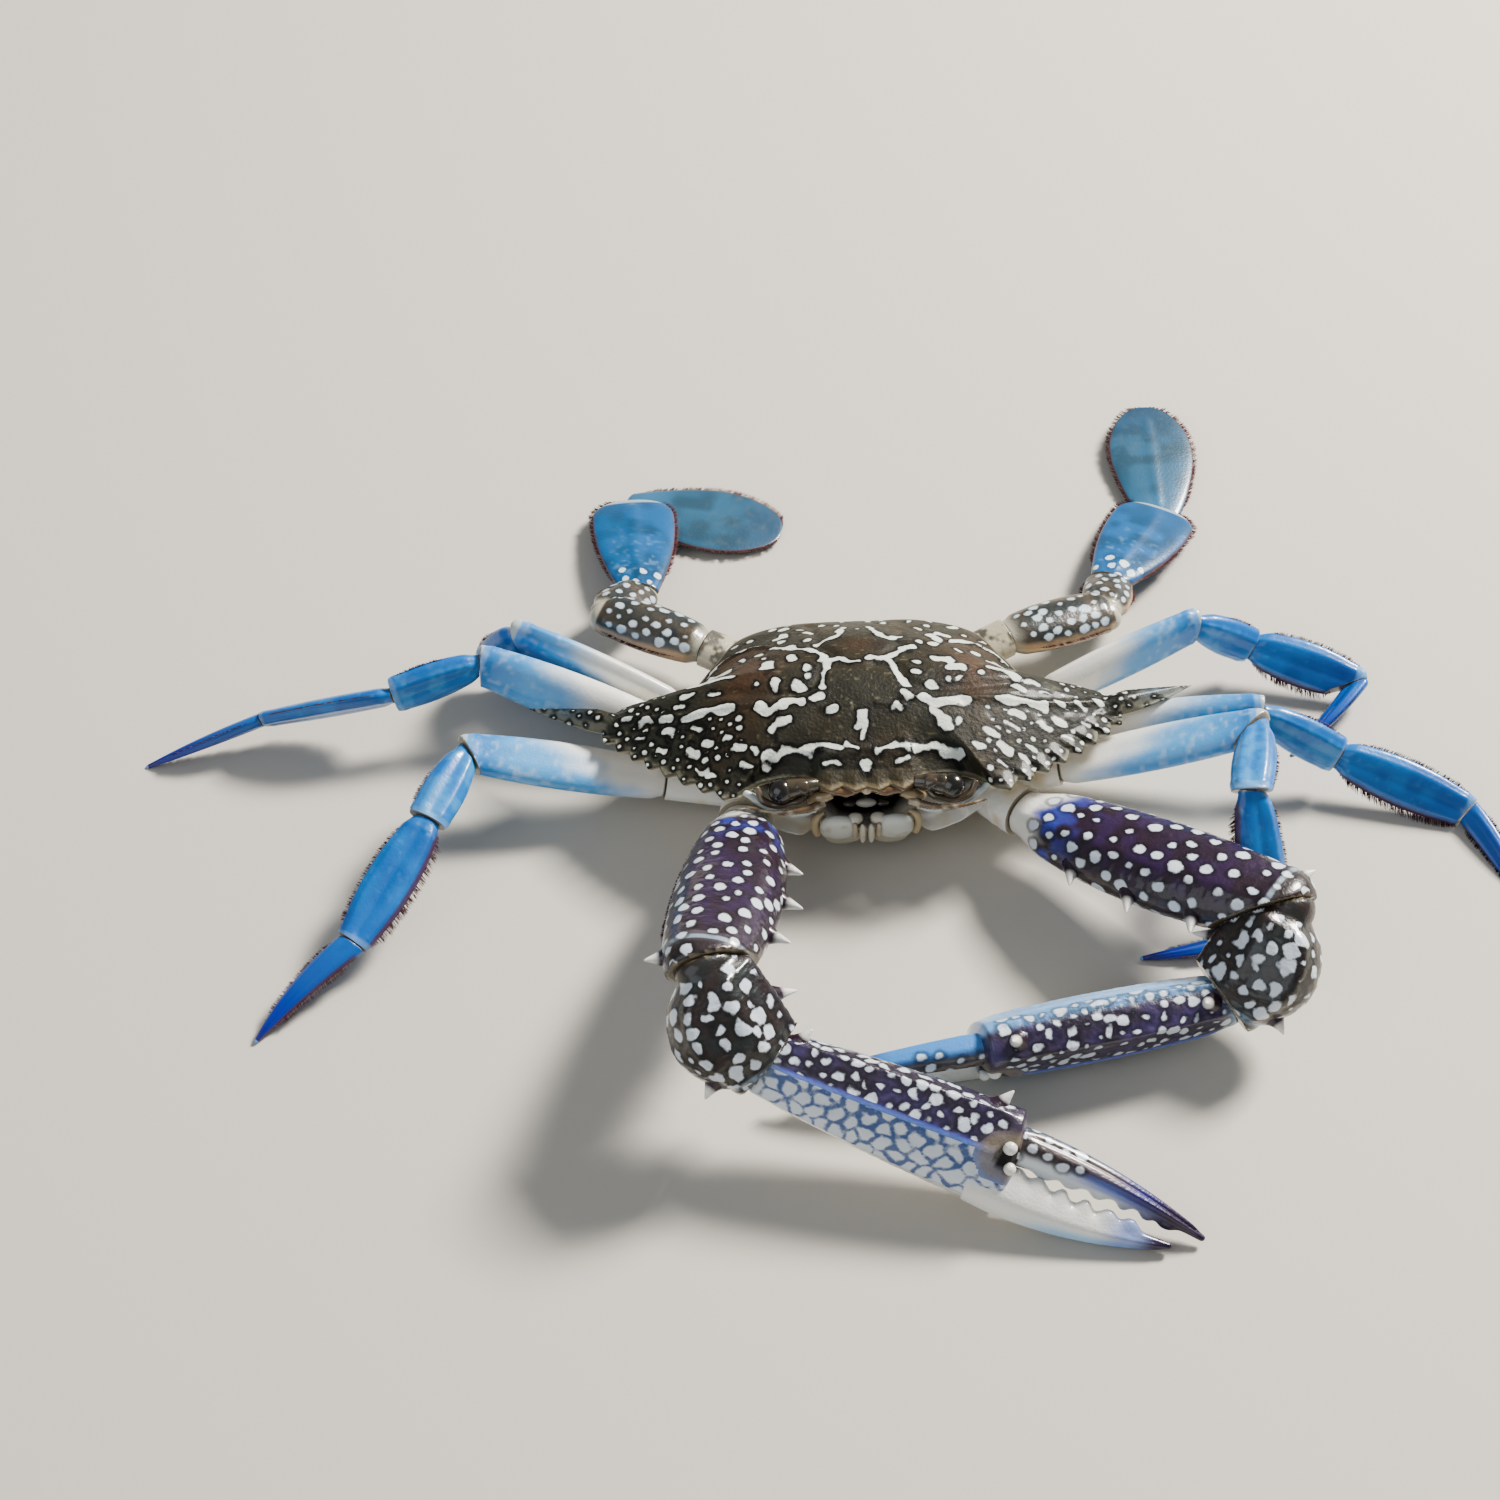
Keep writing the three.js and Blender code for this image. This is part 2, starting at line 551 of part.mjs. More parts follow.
const TINT = {
  cheliped: { base: "pale", merus: "claw", carpus: "claw", propodus: "claw", dactyl: "claw" },
  walking: { base: "pale", merus: "leg", carpus: "leg", propodus: "leg", dactyl: "leg" },
  swimming: { base: "swimmer", merus: "swimmer", carpus: "swimmer", propodus: "paddle", dactyl: "paddle" },
};
for (const { kind, joints } of limbs) {
  for (const { name, joint, place, solid } of joints) addPart(name, solid, place, COLOUR[TINT[kind][joint]]);
}

export default crab;
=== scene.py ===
"""Looks for a male blue swimming crab at rest: plates, colours, hair fringes, floor, lights and camera."""

import math

import bpy
import numpy as np
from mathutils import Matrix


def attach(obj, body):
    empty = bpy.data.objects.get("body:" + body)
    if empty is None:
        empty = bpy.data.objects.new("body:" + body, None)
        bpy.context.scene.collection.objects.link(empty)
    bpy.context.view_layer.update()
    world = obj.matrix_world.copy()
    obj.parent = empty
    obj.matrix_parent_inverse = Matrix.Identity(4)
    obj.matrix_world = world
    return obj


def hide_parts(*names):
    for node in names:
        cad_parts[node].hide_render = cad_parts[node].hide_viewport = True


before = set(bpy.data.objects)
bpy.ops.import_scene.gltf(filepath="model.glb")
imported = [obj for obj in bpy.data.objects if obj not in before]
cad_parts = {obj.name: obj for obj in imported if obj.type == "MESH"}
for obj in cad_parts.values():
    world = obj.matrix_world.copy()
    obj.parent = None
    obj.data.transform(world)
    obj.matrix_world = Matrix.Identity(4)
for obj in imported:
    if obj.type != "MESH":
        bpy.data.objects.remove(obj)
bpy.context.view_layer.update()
MM = 0.001

# ---- The same driving values as the solids, in millimetres and degrees ----
SPINE_TIP = (75.0, 3.0)
SHELL_FRONT = -32.3
SHELL_REAR = 31.4
RIM_Z = -9.0
DOME = 13.0
DOME_POWER = 2.3
BELLY_Z = -27.0
BODY = {"at": (8.25, 9.55, 28.5), "pitch": -8.9, "roll": -1.8}

LIMBS = {
    "cheliped": {"root": (27.1, -17, -21.8), "inward": 1.5, "lengths": (10.6, 66.4, 24, 52.5, 42)},
    "leg2": {"root": (33.6, -10.5, -23), "inward": 8, "lengths": (11.3, 45.1, 20, 32.3, 29)},
    "leg3": {"root": (34, -0.2, -20.7), "inward": 8, "lengths": (11.3, 45.2, 21, 31.4, 28.5)},
    "leg4": {"root": (33, 8.8, -20.2), "inward": 8, "lengths": (10, 39.9, 17, 26.1, 24.6)},
    "swimmer": {"root": (26, 23.8, -14.4), "inward": 6, "lengths": (10.3, 25.5, 14.5, 34.4, 34.2)},
}
JOINTS = ("base", "merus", "carpus", "propodus", "dactyl")
KIND = {limb: "walking" for limb in LIMBS} | {"cheliped": "cheliped", "swimmer": "swimming"}
POSE = {
    "right": {
        "cheliped": [(-88, 25, 0), (-98.4, 23, 0), (-43, -47, 10), (-17, -8.6, 52), (-22, -16.2, 52)],
        "leg2": [(179, 12, -13), (179, 12, -13), (-113, -5, -15), (-119, -15, -15), (-134, -14.5, -15)],
        "leg3": [(163, 13, -53), (163, 13, -53), (-164, -11, -75), (180, -14, -125), (-165, -16, -125)],
        "leg4": [(163, 19, -95), (163, 19, -95), (146, -59, -95), (-22, -5, -60), (0, -11, -60)],
        "swimmer": [(155, 7, 0), (155, 2, 0), (56, -19, 0), (94, -7, 0), (-11, -2, 0)],
    },
    "left": {
        "cheliped": [(-44, 10, 0), (-38.3, 13.4, 0), (-136, -46, 0), (-166.5, 1.1, -123), (-173, -6, -123)],
        "leg2": [(-4, 21, 5), (-4, 21, 5), (-102, 2, 10), (-72, -57, 0), (-168, -3, 20)],
        "leg3": [(-2, 10.3, 60), (-2, 10.3, 60), (-13, -27, 68), (-22, -12, 50), (-69, -9, 50)],
        "leg4": [(22, 12, 85), (22, 12, 85), (6, -33, 80), (-19, -9, 50), (-134, -11.5, 40)],
        "swimmer": [(25, 10, 0), (21, -2, 0), (79, -17, 0), (62, -10, 0), (90, 3, 0)],
    },
}
# Width and thickness at the start, middle and end, lengths of the two round caps, bow of the middle, drop of
# the end, how boxy the section is (1, an oval, if it isn't given, and less if boxier), and for a leaf where
# its round end starts, as a share of the length, and how full that end is.
FORMS = {
    "cheliped": {
        "base": dict(width=(8, 10.5, 12), thick=(8, 9.5, 10), caps=(1.5, 4), boxy=0.9),
        "merus": dict(width=(12.5, 22, 17), thick=(10, 14, 12.5), caps=(4, 6), bow=1, boxy=0.86),
        "carpus": dict(width=(16, 24, 18), thick=(13, 17, 13), caps=(6, 5), bow=-3, boxy=0.9),
        "propodus": dict(width=(13.5, 19, 21.5), thick=(11, 13.5, 12), caps=(4, 2), drop=3.4, boxy=0.82),
        "dactyl": dict(width=(8.4, 5.6, 1.4), thick=(6.8, 5, 1.4), caps=(3, 0.8), bow=1.5, boxy=0.9),
    },
    "walking": {
        "base": dict(width=(7.4, 8.4, 8.8), thick=(5, 5.4, 5.4), caps=(1, 2), boxy=0.9),
        "merus": dict(width=(8.8, 11.4, 9), thick=(5.2, 5.8, 5.2), caps=(2.5, 3.5), boxy=0.9),
        "carpus": dict(width=(5.8, 9.6, 8.6), thick=(4.4, 5.2, 4.6), caps=(3, 3), boxy=0.95),
        "propodus": dict(width=(7.2, 11, 7.2), thick=(4.2, 4.2, 3.4), caps=(3, 2)),
        "dactyl": dict(width=(6.2, 4.8, 1), thick=(3.2, 2.8, 1), caps=(2, 0.7), bow=-1),
    },
    "swimming": {
        "base": dict(width=(9, 10, 9.6), thick=(6, 6.6, 7.5), caps=(1, 2.5), boxy=0.9),
        "merus": dict(width=(9.6, 13, 11), thick=(7.5, 8.4, 7), caps=(3, 3.5), boxy=0.9),
        "carpus": dict(width=(9, 12, 10), thick=(6.4, 6.6, 5), caps=(3.5, 2.5), boxy=0.95),
        "propodus": dict(width=(9.4, 18.6, 19.6), thick=(4.4, 3.6, 2.6), caps=(2.5, 2), leaf=(0.78, 2.6)),
        "dactyl": dict(width=(10.5, 20.4, 21), thick=(2.4, 2.2, 1.4), caps=(2, 3.5), leaf=(0.42, 2.3)),
    },
}
UNMARKED = -9.0  # the mark of a point that has no pale mark near it
X_AXIS = np.array([1.0, 0.0, 0.0])


# ---- Numbers and colours ----
def rgb(code):
    """A hex colour as linear red, green and blue."""
    values = [int(code[i : i + 2], 16) / 255 for i in (0, 2, 4)]
    return np.array([v / 12.92 if v <= 0.04045 else ((v + 0.055) / 1.055) ** 2.4 for v in values])


def smooth(low, high, x):
    """A soft step from 0 at low to 1 at high. low may be the greater one."""
    t = np.clip((np.asarray(x, float) - low) / (high - low), 0, 1)
    return t * t * (3 - 2 * t)


def bell(x, half):
    return np.exp(-((x / half) ** 2))


def boxed(x, power):
    return np.sign(x) * np.abs(x) ** power


def unit(vectors):
    return vectors / np.linalg.norm(vectors, axis=-1, keepdims=True)


def circle(count):
    return np.linspace(0, 2 * math.pi, count, endpoint=False)


def mix(a, b, share):
    """Part of colour b over colour a, each an array or a hex code."""
    a, b = (rgb(c) if isinstance(c, str) else c for c in (a, b))
    share = np.asarray(share)[..., None]
    return a * (1 - share) + b * share


def coats(tint, *layers):
    """Lays (colour, share) layers over a tint, one after another."""
    for colour, share in layers:
        tint = mix(tint, colour, share)
    return tint


def through(sizes, t):
    """The parabola through three sizes: at the start, the middle and the end of a length."""
    start, middle, end = sizes
    return start * (1 - t) * (1 - 2 * t) + middle * 4 * t * (1 - t) + end * t * (2 * t - 1)


def hashed(cell, seed):
    n = cell[..., 0] * 374761393 + cell[..., 1] * 668265263 + cell[..., 2] * 1442695041 + seed * 974711
    n = n & 0xFFFFFFFF
    n = ((n ^ (n >> 13)) * 1274126177) & 0xFFFFFFFF
    return ((n ^ (n >> 16)) & 0xFFFF) / 32767.5 - 1


def noise(points, size, seed=0):
    """Smooth value noise between -1 and 1, with features of about the given size."""
    q = np.asarray(points, float) / size
    cell = np.floor(q).astype(np.int64)
    f = q - cell
    f = f * f * (3 - 2 * f)
    total = 0.0
    for corner in np.ndindex(2, 2, 2):
        weight = np.prod([f[..., k] if corner[k] else 1 - f[..., k] for k in range(3)], axis=0)
        total = total + weight * hashed(cell + np.array(corner), seed)
    return total

def shake(points, size, seed, axes=3):
    """Noise of its own along each axis."""
    return np.stack([noise(points, size, seed + n) for n in range(axes)], -1)


def line_distance(points, line):
    """Distance of each 2-D point from a line through several points."""
    best = np.full(len(points), 1e9)
    line = np.asarray(line, float)
    if len(line) == 1:
        return np.linalg.norm(points - line[0], axis=1)
    for a, b in zip(line[:-1], line[1:]):
        ab = b - a
        t = np.clip(((points - a) @ ab) / (ab @ ab), 0, 1)
        best = np.minimum(best, np.linalg.norm(points - a - t[:, None] * ab, axis=1))
    return best


def catmull(controls, count):
    """Points on a smooth curve through the controls."""
    p = np.asarray(controls, float)
    p = np.vstack([2 * p[0] - p[1], p, 2 * p[-1] - p[-2]])
    u = np.linspace(0, len(controls) - 1, count)
    i = np.minimum(u.astype(int), len(controls) - 2)
    t = (u - i)[:, None]
    a, b, c, d = p[i], p[i + 1], p[i + 2], p[i + 3]
    return 0.5 * (2 * b + (c - a) * t + (2 * a - 5 * b + 4 * c - d) * t**2 + (3 * b - a - 3 * c + d) * t**3)


# ---- Frames ----
def turn(axis, degrees):
    c, s = math.cos(math.radians(degrees)), math.sin(math.radians(degrees))
    i, j = [(1, 2), (2, 0), (0, 1)][axis]
    m = np.eye(3)
    m[i, i], m[i, j], m[j, i], m[j, j] = c, -s, s, c
    return m


BODY_TURN = turn(0, BODY["pitch"]) @ turn(1, BODY["roll"])


def from_body(points):
    """Points of the shell's own frame, in the crab's frame."""
    return np.asarray(points, float) @ BODY_TURN.T + np.array(BODY["at"])


def limb_frames(side, limb):
    """(place, turn) of each joint: X runs along it and Z out of its broad face."""
    sign = 1 if side == "left" else -1
    spec = LIMBS[limb]
    root = spec["root"]
    at = from_body([[sign * root[0], root[1], root[2]]])[0]
    frames = []
    for (heading, climb, roll), length in zip(POSE[side][limb], spec["lengths"]):
        m = turn(2, heading) @ turn(1, -climb) @ turn(0, roll)
        frames.append((at.copy(), m))
        at = at + m[:, 0] * length
    return frames

# ---- Meshes ----
def new_object(name, data):
    obj = bpy.data.objects.new(name, data)
    bpy.context.scene.collection.objects.link(obj)
    return obj


def add_mesh(name, points, faces, material, replaces=(), tint=None, mark=None):
    """A piece from points in millimetres. tint is a colour for each point, and mark is how deep in a pale
    mark the point lies, in millimetres."""
    mesh = bpy.data.meshes.new(name)
    mesh.from_pydata((np.asarray(points) * MM).tolist(), [], faces)
    mesh.polygons.foreach_set("use_smooth", [True] * len(mesh.polygons))
    if tint is not None:
        colours = np.column_stack([tint, np.ones(len(points))])
        mesh.attributes.new("tint", "FLOAT_COLOR", "POINT").data.foreach_set("color", colours.ravel())
        mesh.attributes.new("mark", "FLOAT", "POINT").data.foreach_set("value", mark)
    mesh.materials.append(material)
    obj = new_object(name, mesh)
    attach(obj, "root")
    if replaces:
        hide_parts(*replaces)


def skin(rings):
    """Points and outward faces of a closed tube of rings, with a point at the middle of each end ring."""
    count, sides = rings.shape[:2]
    points = np.vstack([rings.reshape(-1, 3), rings[0].mean(0), rings[-1].mean(0)])
    first, last = count * sides, count * sides + 1
    ring = np.arange(sides)
    ahead = (ring + 1) % sides
    rows = np.arange(count - 1)[:, None] * sides
    corners = [rows + ring, rows + sides + ring, rows + sides + ahead, rows + ahead]
    quads = np.stack(corners, -1).reshape(-1, 4)
    start = np.stack([np.full(sides, first), ring, ahead], -1)
    tail = (count - 1) * sides
    end = np.stack([np.full(sides, last), tail + ahead, tail + ring], -1)
    a, b, c, d = (points[quads[:, n]] for n in range(4))
    inward = np.sum(a * np.cross(b, c)) + np.sum(a * np.cross(c, d)) < 0
    faces = quads.tolist() + start.tolist() + end.tolist()
    if inward:
        faces = [face[::-1] for face in faces]
    return points, faces


def with_ends(values):
    """Carries values from the grid of a tube to its points, ends included."""
    flat = values.reshape(-1, *values.shape[2:])
    return np.concatenate([flat, values[0].mean(0)[None], values[-1].mean(0)[None]])


def join(pieces):
    """Several (points, faces) as one."""
    points, faces, start = [], [], 0
    for p, f in pieces:
        points.append(p)
        faces += [[start + i for i in face] for face in f]
        start += len(p)
    return np.vstack(points), faces


def spread(points, gap, seed, most=4000):
    """Picks points that stay a gap apart from each other."""
    rng = np.random.default_rng(seed)
    order = rng.permutation(len(points))[:most]
    kept = []
    for p in points[order]:
        if not kept or np.min(np.sum((np.array(kept) - p) ** 2, axis=1)) > gap * gap:
            kept.append(p)
    return np.array(kept)


def spot_field(points, centres, radii):
    """How deep each point lies in the nearest round spot."""
    field = np.full(len(points), UNMARKED)
    for centre, radius in zip(centres, radii):
        near = np.abs(points[:, 0] - centre[0]) < -UNMARKED
        d = np.linalg.norm(points[near] - centre, axis=1)
        field[near] = np.maximum(field[near], radius - d)
    return field


def net_field(points, centres):
    """How far each point is from the border between the cells round the centres."""
    first = np.full(len(points), 99.0)
    second = np.full(len(points), 99.0)
    for centre in centres:
        d = np.linalg.norm(points - centre, axis=1)
        closer = d < first
        second = np.where(closer, first, np.minimum(second, d))
        first = np.where(closer, d, first)
    return (second - first) / 2


def tube(path, radii, count, sides):
    """Rings along a smooth path given by a few points, with a radius at each."""
    centres = catmull(path, count)
    size = np.interp(np.linspace(0, len(radii) - 1, count), range(len(radii)), radii)
    slope = unit(np.gradient(centres, axis=0))
    side = unit(np.cross(slope, [0.13, 0.2, 0.97]))
    rise = np.cross(slope, side)
    angle = circle(sides)[None, :, None]
    ring = np.cos(angle) * side[:, None] + np.sin(angle) * rise[:, None]
    return centres[:, None] + size[:, None, None] * ring


def ball(centre, radii, count=20, sides=28, bumpy=0.0, cut=0.08):
    """Rings of an oval body along X. cut is how far the end rings stay from its poles, in radians."""
    turns = np.linspace(cut, math.pi - cut, count)
    angle = circle(sides)
    along = np.repeat(np.cos(turns)[:, None], sides, 1)
    round_x = [np.outer(np.sin(turns), np.cos(angle)), np.outer(np.sin(turns), np.sin(angle))]
    rings = np.stack([along, *round_x], -1) * radii
    if bumpy:
        rings *= 1 + bumpy * noise(rings, 1.4, 5)[..., None]
    return rings + centre


# ---- Materials ----
def set_inputs(tree, node, inputs):
    """Gives each input its constant or the output that feeds it."""
    for name, value in inputs.items():
        if isinstance(value, bpy.types.NodeSocket):
            tree.links.new(value, node.inputs[name])
        else:
            node.inputs[name].default_value = value


def add_node(tree, kind, inputs, **settings):
    node = tree.nodes.new(f"ShaderNode{kind}")
    for name, value in settings.items():
        setattr(node, name, value)
    set_inputs(tree, node, inputs)
    return node


def surface(name, inputs):
    material = bpy.data.materials.new(name)
    material.use_nodes = True
    set_inputs(material.node_tree, material.node_tree.nodes["Principled BSDF"], inputs)
    return material


def shell_coat(
    name, rough, clear, grain, spot="ffffff", halo=1.0, edge=0.14, soft=0.0, shine=0.5, grain_size=1600
):
    """Wet shell: the tint of each point, pale marks with a dark halo round them, and a fine grain."""
    material = surface(name, {
        "Roughness": rough,
        "Coat Weight": clear,
        "Coat Roughness": 0.12,
        "Specular IOR Level": shine,
        "Subsurface Weight": soft,
        "Subsurface Radius": (0.004, 0.003, 0.002),
    })
    tree = material.node_tree
    tint = add_node(tree, "Attribute", {}, attribute_name="tint").outputs["Color"]
    mark = add_node(tree, "Attribute", {}, attribute_name="mark").outputs["Fac"]
    place = add_node(tree, "TexCoord", {}).outputs["Object"]
    ripple = add_node(tree, "TexNoise", {"Vector": place, "Scale": 900, "Detail": 2}).outputs["Fac"]
    uneven = add_node(tree, "Math", {0: ripple, 1: 0.7, 2: mark}, operation="MULTIPLY_ADD").outputs[0]
    border = {"Value": uneven, "From Min": 0.35 - edge, "From Max": 0.35 + edge}
    inside = add_node(tree, "MapRange", border, interpolation_type="SMOOTHSTEP").outputs["Result"]
    dark_ring = {"Value": uneven, "From Min": -0.8, "From Max": 0.0, "To Min": 1.0, "To Max": halo}
    shade = add_node(tree, "MapRange", dark_ring, interpolation_type="SMOOTHSTEP").outputs["Result"]
    ground = add_node(tree, "VectorMath", {0: tint, "Scale": shade}, operation="SCALE").outputs["Vector"]
    colours = {"Factor": inside, "A": ground, "B": (*rgb(spot), 1)}
    paint = add_node(tree, "Mix", colours, data_type="RGBA").outputs["Result"]
    fine = add_node(tree, "TexNoise", {"Vector": place, "Scale": grain_size, "Detail": 3}).outputs["Fac"]
    bump = add_node(tree, "Bump", {"Height": fine, "Strength": grain, "Distance": 0.0004}).outputs["Normal"]
    set_inputs(tree, tree.nodes["Principled BSDF"], {"Base Color": paint, "Normal": bump})
    return material


SHELL = shell_coat("shell", 0.55, 0.1, 0.5, "d5dad2", halo=0.1, edge=0.2, shine=0.25, grain_size=1300)
CLAW = shell_coat("claw", 0.36, 0.6, 0.3, "d3dbe4", halo=0.45, edge=0.24)
LEG = shell_coat("leg", 0.38, 0.5, 0.15, "e4ecf0", halo=0.9, soft=0.05)
SWIMMER = shell_coat("swimmer", 0.38, 0.5, 0.3, "bccad2", halo=0.75, edge=0.24)
PADDLE = shell_coat("paddle", 0.34, 0.5, 0.15, "cfdfe6", halo=0.8)
PALE = shell_coat("pale", 0.42, 0.4, 0.15, "f2efe6", soft=0.08)
FLESH = shell_coat("flesh", 0.22, 1.0, 0.1, soft=0.04)
HAIR = surface("hair", {"Base Color": (*rgb("51262a"), 1), "Roughness": 0.55})
FLOOR = surface("floor", {"Base Color": (*rgb("c9c4ba"), 1), "Roughness": 0.85})

WHITE, CREAM, DARK = "e9e8e2", "dccfb6", "25221d"
VIOLET, PLUM, UMBER, SLATE = "321c42", "2b172a", "332a27", "2f3535"
SKY, BLUE, ROYAL = "5ba3da", "1f74bc", "1754a4"
INDIGO, DUSK = "2c2870", "241339"

# ---- Shell ----
FRONT = [(0, 1.2), (2.6, 0), (5.2, 1.8), (8, 0.2), (10.2, 2.2)]
ORBIT = [(13, 5.2), (18, 6.4), (23, 6), (26.4, 4)]
SIDE_ARC = [(28.6, -30.2), (47, -19.5), (58, -6.2)]
FRONT_SHELF = 3
SIDE_TEETH = 8
TOOTH_PEAK = 0.36
TOOTH_REACH = 2.1
SPINE_BASE = (59, -3.4)
REAR_CURVE = [
    (57.5, -0.6), (45, 1.3), (38, 7.5), (33.2, 16), (27, 26), (16, SHELL_REAR - 0.6), (0, SHELL_REAR),
]
DOME_CENTRE = np.array([0.0, -2.0])
RIM_SHARE = 0.93


def on_arc(u):
    """Points of the toothed side's arc and the directions out of it."""
    a, b, c = np.array(SIDE_ARC)
    u = u[:, None]
    at = (1 - u) ** 2 * a + 2 * u * (1 - u) * b + u * u * c
    slope = unit(2 * (1 - u) * (b - a) + 2 * u * (c - b))
    return at, slope[:, ::-1] * [1, -1]


def stretch(start, end, count, bow=0.0):
    """Points of a line without its end, bowed forward in its middle."""
    s = np.arange(count)[:, None] / count
    return start + np.subtract(end, start) * s - [0, bow] * np.sin(math.pi * s)


def half_outline():
    """The rim and the smooth oval under its teeth, from the middle of the front to the middle of the rear."""
    ahead = [(x, SHELL_FRONT + back) for x, back in FRONT + ORBIT]
    lobes = len(FRONT)
    brow = np.vstack([stretch(a, b, 7) for a, b in zip(ahead[:lobes], ahead[1:])])
    orbit = catmull([*ahead[lobes:], SIDE_ARC[0]], 30)[:-1]
    s = np.tile(np.arange(14) / 14, SIDE_TEETH)
    side, out = on_arc((np.repeat(np.arange(SIDE_TEETH), 14) + s) / SIDE_TEETH)
    reach = np.where(s < TOOTH_PEAK, (s / TOOTH_PEAK) ** 1.3, ((1 - s) / (1 - TOOTH_PEAK)) ** 0.8)
    teeth = side + out * TOOTH_REACH * reach[:, None]
    shelf = np.maximum(brow, [0, SHELL_FRONT + FRONT_SHELF])
    corner, rear = SIDE_ARC[-1], REAR_CURVE[0]
    spine = [stretch(corner, SPINE_TIP, 24, 0.9), stretch(SPINE_TIP, rear, 24, 0.5)]
    stump = [stretch(corner, SPINE_BASE, 24), stretch(SPINE_BASE, rear, 24)]
    back = catmull(REAR_CURVE, 90)
    return np.vstack([brow, orbit, teeth, *spine, back]), np.vstack([shelf, orbit, side, *stump, back])


def whole(half):
    """Mirrors half an outline to the crab's right."""
    return np.vstack([half, half[-2:0:-1] * [-1, 1]])


def rounded(ring, reach, passes):
    """A ring with its corners worn away: each point takes the mean of its neighbours within a reach."""
    for _ in range(passes):
        ring = np.mean([np.roll(ring, k, axis=0) for k in range(-reach, reach + 1)], axis=0)
    return ring


HALF_RIM, HALF_BASE = half_outline()
RIM, BASE = whole(HALF_RIM), whole(HALF_BASE)
OVAL = rounded(BASE, 12, 6)

FRONT_LIFT = 2.0  # how far the brow between the eyes stands above the rest of the rim

# Swellings of the shell: centre, half sizes and height. Grooves and ridges: line, half width and height.
LOBES = [
    ((0, -9), (15, 10), 0.7),
    ((0, 10), (8, 9), 0.6),
    ((24, 3), (12, 14), 0.9),
    ((35, -8), (14, 6), 0.4),
    ((13, -20), (9, 5), 0.5),
]
FOLDS = [
    ([(3, -2.5), (8, -2), (10, -8), (14, -10), (24, -8.5), (33, -6)], 1.3, -0.55),
    ([(6, 2), (9, 6), (9.5, 14), (11, 24)], 1.4, -0.5),
    ([(56, -4.2), (46, -8.2), (39, -10.2), (30, -10.8), (23, -12)], 0.8, 0.5),
    ([(34, 8), (32, 13.2), (28, 14.8), (24, 14), (21, 12)], 0.7, 0.6),
    ([(3, -14), (9, -14.6)], 0.6, 0.35),
    ([(10, -12.6), (21, -13.4)], 0.8, 0.3),
    ([(0, -23.5), (6, -24.6), (14, -22.6), (20, -23.5)], 0.8, 0.4),
]


def dome(shares, power=DOME_POWER):
    return RIM_Z + DOME * (1 - shares**power)


def relief(plan):
    """Height of lobes, grooves and ridges over the dome, at points seen from above."""
    mirrored = np.abs(plan) * [1, 0] + plan * [0, 1]
    height = np.zeros(len(plan))
    for centre, size, rise in LOBES:
        reach = np.sum(((mirrored - centre) / size) ** 2, axis=1)
        height += rise * np.exp(-reach)
    for line, half, rise in FOLDS:
        height += rise * np.exp(-((line_distance(mirrored, line) / half) ** 2))
    return height


# Pale marks in the shell's plan, where the crab's left is +x: lines with a half width, dashes as both ends
# and a half width, and dots as a middle and a radius.
LINES = [
    # the H in the middle, its legs forward and its arms back
    ([(2.4, -0.4), (5, 0), (8, 2)], 1),
    ([(-7.3, -0.5), (-8, -5), (-9, -9)], 0.95),
    ([(6.5, -0.5), (7.7, -5), (9.5, -9)], 0.9),
    ([(-7.5, -0.5), (-9, 3), (-11.5, 6), (-14, 7), (-19, 10)], 0.85),
    ([(8, 2), (10, 4.5), (12, 5)], 1.1),
    # arcs behind it
    ([(-3.5, 17.5), (-3.8, 14), (-5, 10), (-9, 8)], 0.8),
    ([(3, 17), (3.5, 12.5), (7.5, 8.5), (9.5, 11)], 0.8),
    # ridges: rear, and the cross lines to the spines
    ([(-34, 10), (-32.5, 14.5), (-29, 15.3), (-24, 14.5), (-21, 13)], 0.65),
    ([(21, 11.5), (24, 13.5), (28, 14.7), (31.5, 13.5), (33.5, 10)], 0.65),
    ([(-23, -12), (-20, -14), (-17, -12.2), (-14, -12.6)], 1.2),
    ([(13, -12.9), (15, -14), (18, -13.2), (23, -12)], 1.2),
    # large blots over the gills and the rear
    ([(19, 0.5), (20.5, -2.2), (22.5, -3.5)], 1.5),
    ([(-34, 6), (-32.4, 4.2), (-30, 3)], 1.55),
    ([(30.5, 5), (32.6, 3.6), (34, 1)], 1.55),
    ([(-38, -1), (-33, -1.2), (-29, -2)], 0.85),
    ([(29, -1.5), (32, -2.4), (35, -4)], 0.85),
    # across the front
    ([(-22, -24), (-18, -22), (-13, -22.8), (-8, -22.5), (-5, -23.5)], 0.8),
    ([(2, -24), (7, -23), (9, -23.5)], 0.75),
    ([(11, -23.2), (16, -22.2), (20.6, -23.8)], 0.8),
    ([(-0.6, -26.4), (0, -27.6), (0.6, -26.4)], 0.7),
]
